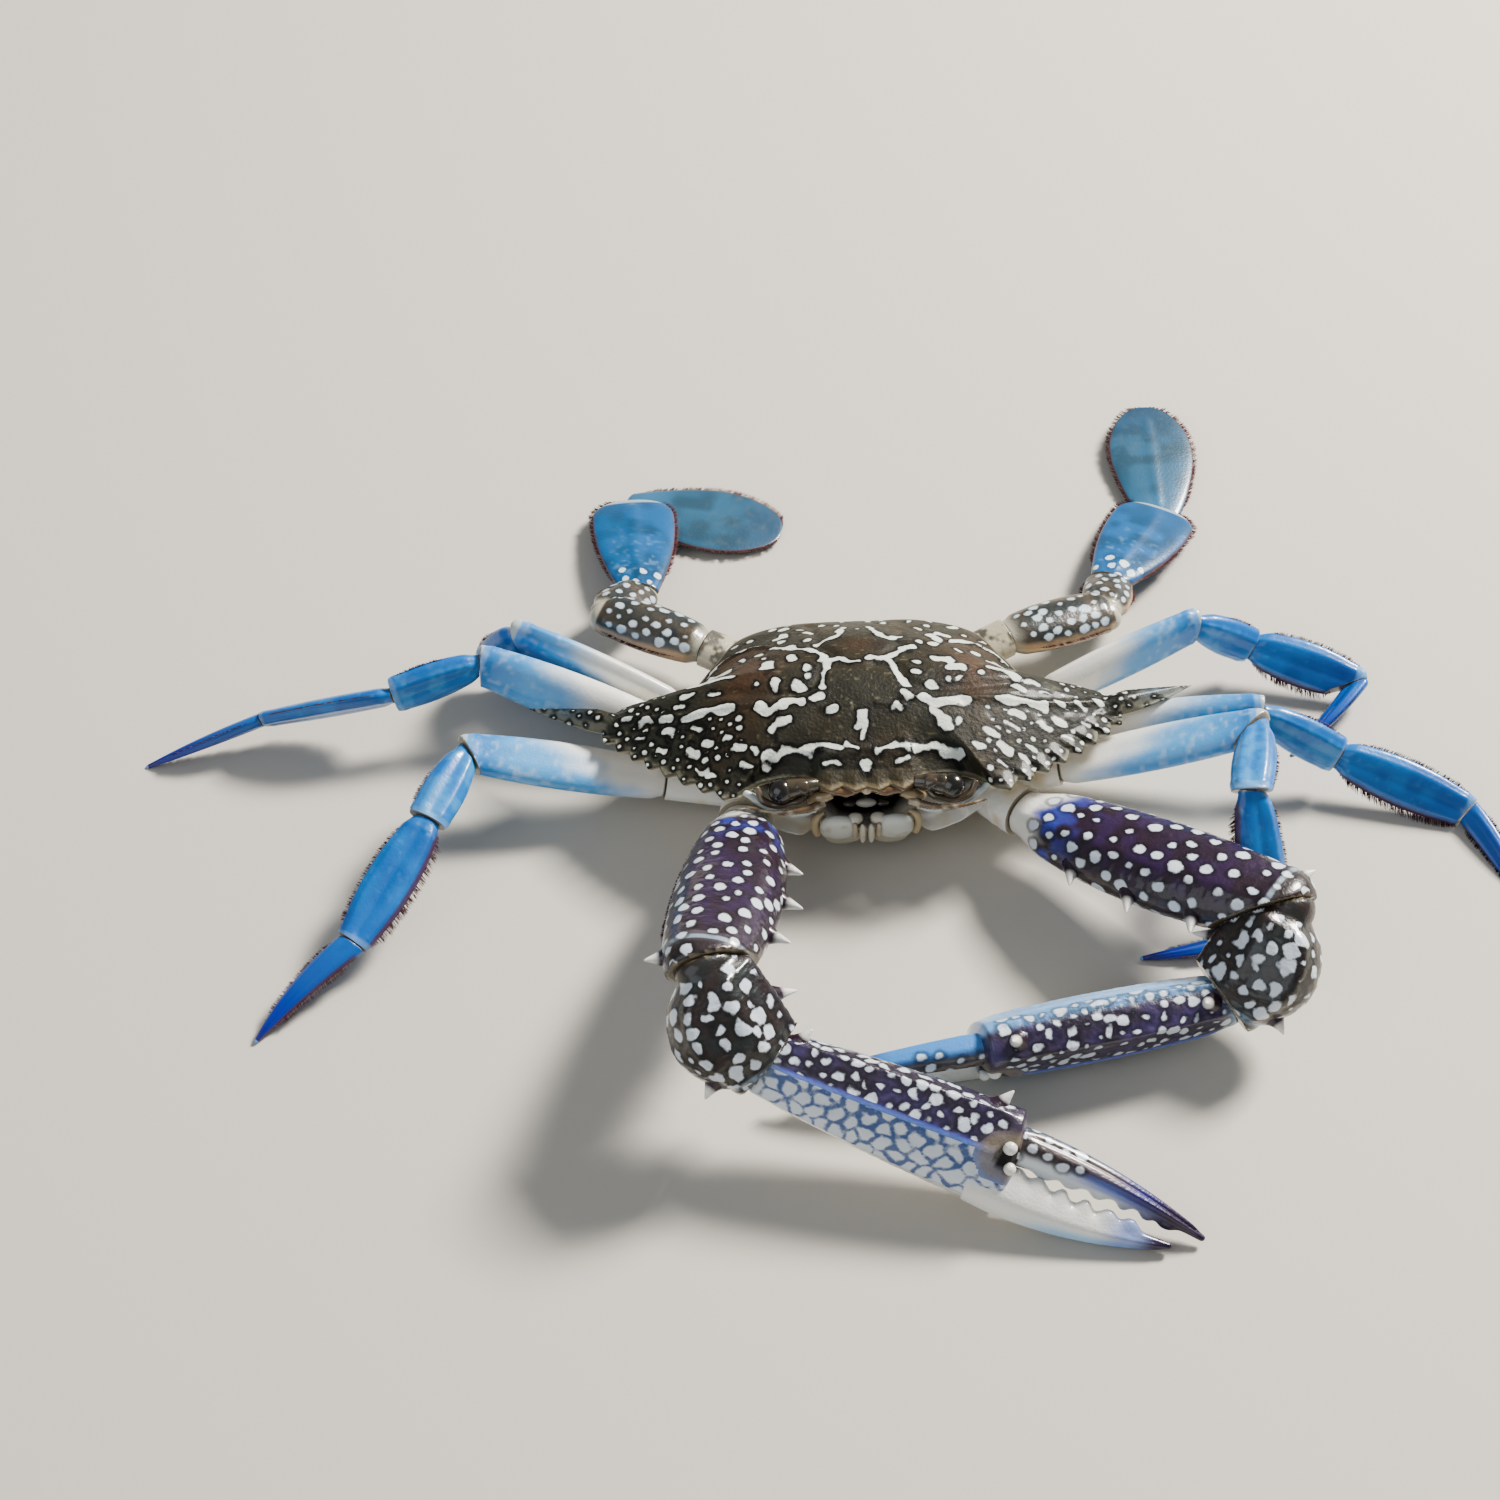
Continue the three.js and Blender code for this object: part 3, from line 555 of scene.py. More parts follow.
DASHES = [
    # the H in the middle, its legs forward and its arms back
    (-7.3, -0.5, -5.4, 0.4, 1.05), (-3.6, -0.2, 0.2, -1.3, 0.75), (0, -16, 0, -18.5, 1.1),
    (0, -18.5, 0, -21, 0.6),
    # ridges: rear, and the cross lines to the spines
    (-39.5, -10.5, -29, -11, 0.85), (30, -10.8, 40, -10.5, 0.85), (-11, -12.4, -9.3, -11.6, 1.1),
    (8.6, -11.4, 9.9, -12.4, 0.85), (-7.6, -15, -6.8, -14.6, 1), (6.8, -14.6, 7.6, -15, 1),
    (-20, -18.5, -16.5, -16, 0.9), (15, -16, 18.5, -19, 0.9),
    # large blots over the gills and the rear
    (-21, -0.5, -20.4, 0.6, 2), (-17.8, 16.2, -16.9, 16.9, 1.6), (-17.5, 12.6, -17.2, 13.6, 1.35),
    (-11.8, 17.4, -11.1, 16.6, 1.1), (16.5, 14.5, 18, 11, 1.15), (18.6, 16.2, 19.6, 15.6, 1.15),
    (16.2, 8.2, 16.9, 8.9, 1.05), (-15.6, 3, -15, 2, 1.15), (16.2, 0.9, 16.9, 0, 1.15),
    (13.2, 18.9, 13.9, 18.1, 1.05), (-26.3, 8.2, -26.3, 9.4, 1), (26.2, 6.6, 26.2, 8.4, 0.95),
    # rear field and the streaks near its margin
    (-16.9, 22.2, -16.2, 22.9, 0.9), (6.5, 21.4, 6.5, 22.6, 0.9), (-20, 24, -19.4, 26, 0.7),
    (-15.5, 26, -15, 28, 0.65), (-9.4, 27, -9.2, 28.4, 0.6), (-3, 25, -3, 27.6, 0.65),
    (2.5, 24.4, 2.6, 27, 0.65), (6, 26.6, 6.2, 28.4, 0.6), (12, 25, 12, 26.8, 0.65),
    (17, 26, 16.6, 27.6, 0.65), (22, 23, 22.6, 25, 0.7), (28.4, 18.4, 29, 19.6, 0.6),
    # small marks between the middle and the sides
    (-19, -7.6, -19, -6.4, 0.95), (-12, -3.1, -12, -1.9, 0.95), (-14.6, -8, -13.4, -8, 1.15),
    (14.3, -8.8, 15.1, -8.2, 1.1),
    # across the front
    (-4, -22.5, -2, -24, 0.75), (-9, -25.9, -6.4, -26.1, 0.45), (6.8, -26.1, 9.4, -25.8, 0.45),
    # lozenges along the toothed sides, right then left
    (-44.8, -8.7, -43, -9.3, 0.75), (-43.8, -12.6, -42.2, -13.4, 0.9),
    (-45.3, -15.6, -43.6, -16.4, 0.65), (-37.8, -13.2, -36, -13.8, 0.85),
    (-38.4, -18.6, -36.6, -19.4, 0.75), (-35.3, -17.2, -33.8, -17.8, 0.8),
    (-30.6, -17.6, -29.4, -18.4, 0.8), (-36.8, -22.6, -35.2, -23.4, 0.65),
    (-34.2, -24.6, -32.8, -25.4, 0.65), (-28.2, -20.6, -26.8, -21.4, 0.85),
    (-24.5, -21.7, -23.5, -22.3, 0.75), (-26.8, -24.6, -25.2, -25.4, 0.75),
    (-49.6, -8, -47.6, -8.4, 0.65), (-50, -11.4, -48.4, -12, 0.6), (-39.6, -4.6, -37.4, -5, 0.65),
    (-33.4, -6.4, -31.6, -6.8, 0.6), (-41, -6.8, -39.2, -7.2, 0.5), (-53.6, -5.6, -51.8, -6, 0.6),
    (34.2, -6.2, 35.8, -6.8, 0.75), (32.2, -16.6, 33.8, -17.4, 0.85), (33.2, -13.7, 34.8, -14.3, 0.85),
    (41.6, -12.7, 43.4, -13.3, 0.9), (39.2, -14.7, 40.8, -15.3, 0.7), (44.2, -16.2, 45.8, -16.8, 0.6),
    (27.2, -18.6, 28.8, -19.4, 0.8), (30.2, -21.6, 31.8, -22.4, 0.8), (23.9, -21.7, 25.1, -22.3, 0.75),
    (34.2, -22.6, 35.8, -23.4, 0.65), (35.8, -20.2, 37.2, -20.8, 0.7), (28.8, -25.1, 30.2, -25.9, 0.7),
    (42.4, -8.7, 44.6, -9.3, 0.75), (47.6, -8, 49.6, -8.4, 0.65), (48.4, -11.4, 50, -12, 0.6),
    (37.4, -4.6, 39.6, -5, 0.65), (39.4, -6.9, 41.2, -7.3, 0.5), (51.8, -5.6, 53.6, -6, 0.6),
]
DOTS = [
    # arcs behind it
    (0, 15, 0.7),
    # ridges: rear, and the cross lines to the spines
    (20.5, -18, 0.8),
    # large blots over the gills and the rear
    (-11.3, 11, 1), (13.2, 8.5, 0.9), (22.2, 6, 0.9), (-22.3, 8, 0.7), (-21, 5, 0.7),
    # rear field and the streaks near its margin
    (-28, 20.5, 0.85), (-24.5, 20, 0.8), (-13.5, 20, 0.9), (-8, 22, 0.95), (-5, 20.5, 0.8),
    (16, 21, 0.95), (24.5, 19, 0.85),
    # small marks between the middle and the sides
    (-23, -6, 0.8), (-11.3, -5.5, 0.8), (12.5, -5.5, 0.8), (19.5, -7, 0.9), (22, -6.5, 0.8),
    (27, -4.5, 0.8), (12.4, -1.4, 0.8),
]
MARKS = LINES + [([(x, y), (u, v)], half) for x, y, u, v, half in DASHES]
MARKS += [([(x, y)], half) for x, y, half in DOTS]


def spine_half(x):
    """Half the thickness of a side spine, from its distance to the middle."""
    return np.clip((SPINE_TIP[0] + 0.4 - np.abs(x)) * 0.2, 0.15, 3.2)


def shell_top(shares):
    """Rings of the shell's upper side, from its middle to its rim."""
    rings = []
    for share in shares:
        shape = OVAL + (BASE - OVAL) * smooth(0.6, 0.95, share)
        inner = DOME_CENTRE + (shape - DOME_CENTRE) * min(share, RIM_SHARE)
        plan = inner + (RIM - inner) * max(0, (share - RIM_SHARE) / (1 - RIM_SHARE))
        rings.append(np.column_stack([plan, np.full(len(plan), dome(share))]))
    top = np.vstack(rings)
    fade = np.repeat(1 - smooth(0.9, 1.0, shares), len(RIM))
    top[:, 2] += relief(top[:, :2]) * fade
    top[:, 2] += fade * (0.1 * noise(top, 3.2, 1) + 0.06 * noise(top, 1.9, 3))
    side = np.abs(top[:, 0])
    base_x, base_y = SPINE_BASE
    axis_y = base_y + (SPINE_TIP[1] - base_y) * (side - base_x) / (SPINE_TIP[0] - base_x)
    half = spine_half(side)
    off = np.clip(np.abs(top[:, 1] - axis_y - 0.3) / half, 0, 1)
    round_top = RIM_Z + 0.95 * half * np.sqrt(1 - off**2)
    on_spine = smooth(53, 58, side)
    top[:, 2] = top[:, 2] * (1 - on_spine) + np.maximum(round_top, RIM_Z) * on_spine
    return top.reshape(len(shares), -1, 3)


def shell_under():
    """Rings of the shell's lower side, from its rim inwards."""
    thin = np.where(np.abs(RIM[:, 0]) > 57, np.minimum(1, spine_half(RIM[:, 0]) / 2.4), 1)
    rings = []
    for share, drop in ((1.0, 0.5), (0.985, 1.1), (0.95, 1.6), (0.9, 1.9), (0.8, 2.1), (0.5, 2.1)):
        outline = RIM if share > 0.96 else BASE
        ring = DOME_CENTRE + (outline - DOME_CENTRE) * share
        rings.append(np.column_stack([ring, RIM_Z - drop * thin]))
    return np.array(rings)


def shell_marks(points, top):
    """How deep each point lies in a pale mark. The first points, top of them, are the upper side's."""
    wiggled = points[:, :2] + 0.8 * shake(points, 2.4, 5, 2)
    field = np.full(len(points), UNMARKED)
    uneven = 0.85 + 0.7 * noise(points, 1.9, 7)
    for line, width in MARKS:
        field = np.maximum(field, width * uneven - line_distance(wiggled, line))
    side = np.abs(points[:top, 0])
    toothed = (side > 44) | ((side > 27) & (points[:top, 1] < -12))
    centres = spread(points[:top][toothed], 2.2, 11)
    radii = np.clip(0.45 + 0.35 * noise(centres, 3, 9), 0.15, 0.8)
    radii *= 1 - 0.35 * smooth(54, 64, np.abs(centres[:, 0]))
    small = spot_field(points, centres, radii)
    return np.maximum(field, np.where(field < -0.9, small, UNMARKED))


def shell_tint(points, rim, front):
    side, y = np.abs(points[:, 0]), points[:, 1]
    patch = np.maximum(bell(side - 25, 6) * bell(y + 2, 11), bell(side - 27, 5) * bell(y - 10, 5))
    patch = np.maximum(patch, 0.7 * bell(side, 5.5) * bell(y - 6, 3))
    return coats(
        mix("303027", "383123", smooth(-0.2, 0.5, noise(points, 9, 2))),
        ("503625", 0.75 * patch),
        ("30332a", 0.7 * smooth(30, 44, side)),
        (DARK, 0.45 * smooth(0.0, 0.7, noise(points, 5, 8)) + 0.15),
        ("857d60", 0.3 * smooth(0.5, 0.8, noise(points, 0.75, 4))),
        ("6e8aa0", 0.5 * smooth(58, 72, side)),
        ("3f3828", 0.7 * front),
        ("877a60", 0.7 * rim * smooth(16, 12, side) * (y < -20)),
        ("8d8a78", 0.6 * rim * smooth(14, 18, side)),
    )


def make_carapace():
    step = 1
    shares = np.concatenate([
        np.linspace(0.012, RIM_SHARE, 84),
        RIM_SHARE + (1 - RIM_SHARE) * np.linspace(0.05, 1, 20),
    ])[::step]
    points, faces = skin(np.concatenate([shell_top(shares), shell_under()]))
    side, y = np.abs(points[:, 0]), points[:, 1]
    below = points[:, 2] < RIM_Z - 0.9
    points[:, 2] += FRONT_LIFT * smooth(27, 12, side) * smooth(-19, -29, y)
    top = len(shares) * len(RIM)
    rim = np.ones(len(points))
    rim[:top] = np.repeat(smooth(0.975, 0.995, shares), len(RIM))
    front = smooth(-26.6, -29, y) * smooth(16, 12, side)
    tint = shell_tint(points, rim, front)
    tint[below] = rgb(CREAM) * 0.9
    field = shell_marks(points, top)
    field[below] = UNMARKED
    field = np.where((front > 0.5) & ~below, np.minimum(field, -0.3), field)
    add_mesh("carapace_shell", from_body(points), faces, SHELL, ["carapace"], tint, field)


make_carapace()



# ---- Limbs ----
GAP = 0.3  # between the plates of neighbouring joints
FLOOR_GAP = 0.02  # no point of a plate lies lower over the floor
HAIR_FLOOR_GAP = 0.05
HAIR_GAP = 0.12  # from one hair of a fringe to the next
HAIR_THICK = 0.08
# How spots and the net's cells are drawn out along a joint
SPOT_STRETCH = [0.82, 1, 1]
NET_STRETCH = [0.8, 1, 1]
CLAW_SPINES = {
    "merus": [(0.3, 1, 4.4), (0.53, 1, 4.8), (0.76, 1, 4.6), (0.97, -1, 3.6)],
    "carpus": [(0.55, 1, 5), (0.85, -1, 2.6)],
    "propodus": [(0.1, 1, 2.6), (0.9, 1, 3)],
}
FIXED_FINGER = {"start": (46, -9, 1.6), "end": (88, -9.6, 1.8), "bow": -1.6}
FIXED_FORM = dict(width=(9.6, 7.4, 1.4), thick=(8, 6, 1.4), caps=(1, 0.8), boxy=0.9)
# Ridges and grooves along a joint: angle round it from the inner border towards the broad face, half width in
# degrees, and height.
RIDGES = {
    ("cheliped", "merus"): [(0, 16, 0.5), (180, 14, 0.5), (60, 9, 0.25)],
    ("cheliped", "carpus"): [(35, 11, 0.9), (88, 9, 0.8), (140, 11, 0.9), (-60, 10, 0.6)],
    ("cheliped", "propodus"): [
        (28, 7, 0.6), (84, 6, 0.6), (138, 7, 0.35), (-35, 7, 0.5), (-85, 7, 0.4), (55, 12, -0.3),
    ],
    ("cheliped", "dactyl"): [(0, 14, 0.3), (70, 12, 0.3), (35, 10, -0.25), (-70, 12, 0.3)],
    ("walking", "merus"): [(180, 14, 0.35), (90, 24, -0.25)],
    ("walking", "carpus"): [(120, 10, 0.3), (60, 10, 0.3), (90, 12, -0.3)],
    ("walking", "propodus"): [(90, 16, -0.4), (-90, 16, -0.4), (128, 9, 0.3), (52, 9, 0.3)],
    ("walking", "dactyl"): [(90, 16, -0.3), (-90, 16, -0.3), (125, 10, 0.2)],
    ("swimming", "merus"): [(90, 30, 0.3), (180, 12, 0.3)],
    ("swimming", "carpus"): [(70, 12, 0.4), (110, 12, 0.3)],
    ("swimming", "propodus"): [(90, 9, 0.35), (60, 14, -0.2), (120, 14, -0.2)],
    ("swimming", "dactyl"): [(90, 8, 0.22), (-90, 8, 0.22)],
}
MESH = {"cheliped": (150, 112), "walking": (84, 56), "swimming": (84, 72)}
TOOTH_ROWS = {
    "propodus": (0, 1.7, (0.22, 0.33, 0.45, 0.57, 0.69, 0.8)),
    "dactyl": (180, 1.2, (0.2, 0.33, 0.47, 0.6, 0.72, 0.82)),
}


def turned_from(degrees, at):
    """Angles measured from another one, between -180 and 180."""
    return (degrees - at + 180) % 360 - 180


def midline(form, t):
    """How far the middle of a joint lies off its straight axis."""
    return form.get("bow", 0) * 4 * t * (1 - t) - form.get("drop", 0) * t


def joint_profile(form, length, count, socket, waist):
    """Places along a joint, and how full its section is at each, with round ends. socket gives it a lip at
    its far end and a narrower neck at its start."""
    caps = form["caps"]
    turns = np.linspace(0.15, math.pi / 2, 8)[:-1]
    body = np.linspace(0, length, count)
    if socket:
        body = np.union1d(body, length - np.array([1.5, 1.1, 0.7, 0.4, 0.2, 0.05]))
    if "leaf" in form:
        from_share, power = form["leaf"]
        full = length + caps[1]
        body = body[body <= from_share * full]
        share = np.sin(np.linspace(0, math.pi / 2 - 0.07, count - len(body) + 12))[1:]
        end = body[-1] + (full - body[-1]) * share
        closing = (1 - share**power) ** (1 / power)
    else:
        arc = np.linspace(0, math.pi / 2 - 0.12, 10)[1:]
        end = length + caps[1] * np.sin(arc)
        closing = np.cos(arc)
    s = np.concatenate([-caps[0] * np.cos(turns), body, end])
    shrink = np.concatenate([np.sin(turns), np.ones(len(body)), closing])
    if socket:
        neck = waist[0] + (1 - waist[0]) * smooth(0.2, min(waist[1], 0.2 * length), s)
        shrink = shrink * neck * (1 + 0.045 * bell(s - length + 1.4, 1.1))
    return s, shrink


def plate(form, length, edge, count, sides, socket, ridges=(), teeth=None, rough=0.05, waist=(0.84, 3.2)):
    """Rings of a joint in its own frame, with the length and the angle round it at every point."""
    s, shrink = joint_profile(form, length, count, socket, waist)
    t = np.clip(s / length, 0, 1)
    angle = circle(sides)
    degrees = np.degrees(angle)
    boxy = form.get("boxy", 1)
    across = np.outer(through(form["width"], t) / 2 * shrink, boxed(np.cos(angle), boxy))
    up = np.outer(through(form["thick"], t) / 2 * shrink, boxed(np.sin(angle), boxy))
    fade = smooth(0, 0.12, t) * smooth(1.0, 0.93, t)
    swell = np.zeros_like(across)
    for at, half, rise in ridges:
        swell += np.outer(fade * np.sqrt(np.clip(shrink, 0, 1)), rise * bell(turned_from(degrees, at), half))
    if teeth:
        at, rise, places = teeth
        halves = [1.75 + 0.4 * math.sin(40 * p) for p in places]
        row = sum(np.exp(-(np.abs((t - p) * length / half) ** 2.6)) for p, half in zip(places, halves))
        swell += np.outer(rise * row, bell(turned_from(degrees, at), 30))
    rings = np.stack([np.repeat(s[:, None], sides, 1), edge * (across + midline(form, t)[:, None]), up], -1)
    swell += rough * fade[:, None] * (noise(rings, 1.3, 21) + noise(rings, 0.7, 22)) / 2
    reach = np.hypot(across, up) + 1e-6
    rings[..., 1] += edge * across / reach * swell
    rings[..., 2] += up / reach * swell
    return rings, np.repeat(s[:, None], sides, 1), np.tile(degrees, (len(s), 1))


def spike(foot, direction, radius, length):
    """A curved spine with a flared foot. Returns rings, and the share along it."""
    direction = unit(np.array(direction, float))
    side = unit(np.cross(direction, [0.0, 0.0, 1.0]))
    other = np.cross(direction, side)
    share = np.array([0, 0.12, 0.25, 0.4, 0.55, 0.7, 0.84, 0.94, 1.0])
    size = radius * np.array([1.35, 1.1, 0.86, 0.66, 0.5, 0.36, 0.24, 0.14, 0.05])
    angle = circle(12)[:, None]
    ring = np.cos(angle) * side + np.sin(angle) * other
    centres = foot + np.outer(share * length, direction) + np.outer(share**2 * length * 0.12, X_AXIS)
    rings = centres[:, None] + size[:, None, None] * ring
    return rings, np.repeat(share[:, None], len(ring), 1)


def edge_of(form, t, border):
    """Y of a border of a joint, before it is turned to its side."""
    return midline(form, t) + border * through(form["width"], t) / 2


def bring_back(rings, at, normal, along):
    """Moves what lies past a plane back onto it, along a direction."""
    past = (rings - at) @ normal
    return rings - np.maximum(past, 0)[..., None] / (along @ normal) * along


class Piece:
    """Collects the skins of one piece, with the tint and the mark of each point."""

    def __init__(self, place, turned):
        self.place, self.turned = place, turned
        self.skins, self.tints, self.marks = [], [], []

    def add(self, rings, tint, mark=None):
        """Adds a closed skin. tint is one colour or a colour for each point."""
        points, faces = skin(rings)
        placed = points @ self.turned.T + self.place
        placed[:, 2] = np.maximum(placed[:, 2], FLOOR_GAP)
        self.skins.append((placed, faces))
        tint = rgb(tint) if isinstance(tint, str) else tint
        mark = np.full(rings.shape[:2], UNMARKED) if mark is None else mark
        self.tints.append(with_ends(np.broadcast_to(tint, rings.shape)))
        self.marks.append(with_ends(mark))

    def finish(self, name, material, slot, nodes):
        points, faces = join(self.skins)
        tints, marks = np.concatenate(self.tints), np.concatenate(self.marks)
        add_mesh(name, points, faces, material, nodes, tints, marks)


def spots_on(rings, keep, gap, radius, seed, vary=0.5, ragged=0.34):
    """The mark of uneven spots that are scattered over the kept part of a joint."""
    flat = rings.reshape(-1, 3)
    centres = spread(flat[keep.ravel()], gap, seed)
    radii = radius * (1 + vary * noise(centres, 1.3, seed))
    warped = flat + shake(flat, 1.9, seed + 1) * ragged * radius
    return spot_field(warped * SPOT_STRETCH, centres * SPOT_STRETCH, radii).reshape(rings.shape[:2])


def around(degrees, at, half, soft=8):
    """1 within half of an angle, falling to 0 over soft degrees to each side of that border."""
    return smooth(half + soft, half - soft, np.abs(turned_from(degrees, at)))


def paint_cheliped(joint, side, rings, s, degrees, length, seed):
    """Tint and mark of each point of a claw's joint, which lies s along it and degrees round it."""
    t = s / length
    grain = noise(rings, 3.1, seed)
    if joint == "base":
        return mix(WHITE, CREAM, smooth(-0.2, 0.8, grain)), np.full(s.shape, UNMARKED)
    if joint == "merus":
        rim = around(degrees, 180, 9, 5)
        belly = around(degrees, 270, 42, 16)
        start = 0.11 if side == "left" else 0.05
        root = t - 0.05 * grain - 0.07 * around(degrees, 150, 60, 30)
        collar = smooth(length - 1.6, length - 1.0, s) * smooth(length + 0.1, length - 0.4, s)
        tint = coats(
            mix(VIOLET, PLUM, smooth(-0.5, 0.5, grain)),
            (UMBER, 0.5 * around(degrees, 0, 30) + 0.4 * smooth(0.7, 1, t)),
            ("9fb6d8", 0.85 * rim),
            ("b9c3dd", belly),
            ("3a4fb0", 0.7 * smooth(0.36, 0.14, t) * smooth(0.4, -0.4, grain)),
            (WHITE, smooth(start + 0.05, start - 0.03, root)),
            (UMBER, 0.8 * smooth(length - 0.5, length + 0.3, s)),
            ("a4b4c0", 0.7 * collar),
        )
        keep = (t > start) & (s < length + 4.6) & (belly < 0.5) & (rim < 0.6)
        return tint, spots_on(rings, keep, 3.8, 1.02, seed, 0.45)
    if joint == "carpus":
        belly = around(degrees, 270, 40, 16)
        collar = smooth(length - 1.8, length - 1.0, s) * smooth(length + 0.4, length - 0.2, s)
        tint = coats(
            mix(UMBER, SLATE, smooth(-0.4, 0.6, grain)),
            (PLUM, 0.4 * around(degrees, 0, 50)),
            ("aab8cc", belly),
            ("8fa9c4", 0.7 * collar),
        )
        keep = (t > 0.02) & (s < length + 3) & (belly < 0.5)
        return tint, spots_on(rings, keep, 3.3, 1.08, seed, 0.7, 0.8)
    if joint == "propodus":
        return paint_palm(rings, t, degrees, grain, seed)
    top = around(degrees, 12, 82, 12)
    tint = coats(
        mix("cfd6dc", "54484a", top),
        ("4f90d2", (0.95 if side == "left" else 0.3) * around(degrees, 320, 50, 20)),
        ("3c62c0", 0.7 * around(degrees, 100, 24, 14) * smooth(0.2, 0.5, t)),
        (INDIGO, smooth(0.45, 0.68, t) * (0.55 + 0.45 * top)),
        (DUSK, smooth(0.62, 0.84, t)),
    )
    keep = (around(degrees, 50, 55, 5) > 0.7) & (t > 0.02) & (t < 0.34)
    return tint, spots_on(rings, keep, 3.1, 0.8, seed)


def paint_palm(rings, t, degrees, grain, seed):
    """The palm: spots on its upper edge, a pale blue net on its outer face."""
    top = around(degrees, 14, 66, 5)
    net = around(degrees, 112, 31, 5)
    tint = coats(
        mix(WHITE, UMBER, top),
        ("4b3f6e", top * (0.3 + 0.5 * smooth(0.2, -0.6, grain))),
        ("34329a", 0.9 * around(degrees, 82, 5, 4)),
        ("6a8ed2", net),
        ("7badde", 0.85 * around(degrees, 300, 36, 10)),
        ("9cb8d4", 0.8 * smooth(0.07, 0.0, t)),
    )
    flat = rings.reshape(-1, 3)
    centres = spread(flat[(net > 0.3).ravel()], 2.9, seed)
    warped = flat + 0.55 * shake(flat, 1.8, seed + 1)
    cells = net_field(warped * NET_STRETCH, centres * NET_STRETCH).reshape(t.shape)
    veins = 0.3 + 0.2 * noise(rings, 3, seed + 5) + 0.25 * smooth(100, 84, degrees)
    spots = spots_on(rings, (top > 0.6) & (t > 0.03) & (t < 0.95), 2.6, 0.84, seed, 0.7, 0.9)
    return tint, np.where(net > 0.5, cells - veins, np.where(top > 0.5, spots, UNMARKED))


def paint_walking(joint, rings, s, degrees, length, seed):
    """Tint of each point of a walking leg's joint. Walking legs have no marks."""
    t = s / length
    grain = noise(rings, 3.6, seed)
    fine = noise(rings, 1.1, seed + 1)
    if joint == "base":
        return mix(WHITE, CREAM, smooth(-0.2, 0.8, grain))
    beyond = (s > length + 0.02) * 1.0
    collar = smooth(length - 1.6, length - 0.8, s) * (1 - beyond)
    if joint == "merus":
        inner = 0.25 * around(degrees, 0, 55, 30) - 0.2 * around(degrees, 180, 60, 30)
        blue = smooth(0.24, 0.62, t + 0.07 * grain + inner)
        tint = coats(
            mix(WHITE, CREAM, 0.35 * smooth(0.0, 0.9, grain)),
            (SKY, blue),
            (BLUE, 0.75 * smooth(0.72, 0.98, t + 0.05 * grain)),
            ("e6eef2", 0.25 * smooth(0.1, 0.8, fine) * blue),
        )
    elif joint == "carpus":
        tint = mix("4593cd", BLUE, 0.8 * smooth(-0.5, 0.3, grain + 0.5 * fine) + 0.1)
        tint = mix(tint, ROYAL, 0.4 * around(degrees, 180, 60, 30))
    elif joint == "propodus":
        cloud = 0.5 * smooth(0.3, 0.9, fine) * smooth(0.25, 0.0, t) + 0.18 * smooth(0.3, 1, fine)
        tint = mix(BLUE, "165fa6", smooth(-0.5, 0.6, grain))
        tint = coats(tint, ("68aee0", cloud), (ROYAL, 0.55 * smooth(0.55, 1, t)))
    else:
        tint = mix("1b62b0", ROYAL, smooth(0.0, 0.4, t))
        tint = coats(tint, ("0b2f9c", smooth(0.35, 0.8, t)), ("2a1a5a", 0.6 * smooth(0.8, 1, t)))
    if joint in ("propodus", "dactyl"):
        tint = mix(tint, "4d1d2a", 0.85 * around(degrees, 8, 26, 7) * smooth(0.02, 0.1, t))
    tint = mix(tint, "b9c3c4" if joint == "merus" else "6f9fce", beyond)
    return tint if joint == "dactyl" else mix(tint, "9fc8ea", 0.3 * collar)


def paint_swimming(joint, rings, s, degrees, length, seed):
    """Tint and mark of each point of a swimming leg's joint."""
    t = s / length
    grain = noise(rings, 3.6, seed)
    fine = noise(rings, 1.0, seed + 1)
    mark = np.full(s.shape, UNMARKED)
    beyond = (s > length + 0.02) * 1.0
    cloudy = smooth(-0.4, 0.6, grain)
    if joint == "base":
        tint = mix("b9b29c", "5a564c", smooth(-0.3, 0.4, grain + 0.8 * fine))
        return mix(tint, WHITE, 0.6 * around(degrees, 270, 70, 30)), mark
    if joint in ("merus", "carpus"):
        tint = coats(
            mix(SLATE, "4d4438", cloudy),
            ("d9b48a", 0.7 * around(degrees, 0, 18, 10)),
            ("c9c7bc", 0.9 * around(degrees, 270, 55, 20)),
            ("a8a596", 0.9 * smooth(0.14, 0.02, t)),
            ("b9b29c", beyond),
        )
        keep = (degrees > 25) & (degrees < 165) & (t > 0.12) & (t < 0.94)
        return tint, spots_on(rings, keep, 2.6, 0.78, seed, 0.6)
    rim = np.maximum(around(degrees, 0, 13, 7), around(degrees, 180, 13, 7))
    if joint == "dactyl":
        tint = coats(
            mix("34607c", "2c4d60", cloudy),
            ("52666e", 0.5 * smooth(0.3, 0.8, t) * smooth(0.0, 0.8, -fine)),
            ("2c4a66", 0.6 * smooth(0.6, 1.05, t)),
            ("4f8ab4", 0.4 * smooth(0.35, 0.0, t)),
            ("6b3f28", 0.8 * rim),
        )
        return tint, mark
    middle = smooth(0.8, 0.3, t) * around(degrees, 90, 50, 30)
    tint = coats(
        mix("246296", "1c4c70", cloudy),
        ("86b4d2", 0.4 * smooth(0.3, 0.9, fine) * middle),
        ("2c5f8c", 0.5 * smooth(0.7, 1.0, t)),
        ("6b3f28", 0.8 * rim),
        ("b0bcc0", 0.8 * beyond),
    )
    keep = (t > 0.0) & (t < 0.2) & (degrees < 150) & (degrees > 30)
    return tint, spots_on(rings, keep, 3.2, 0.9, seed)


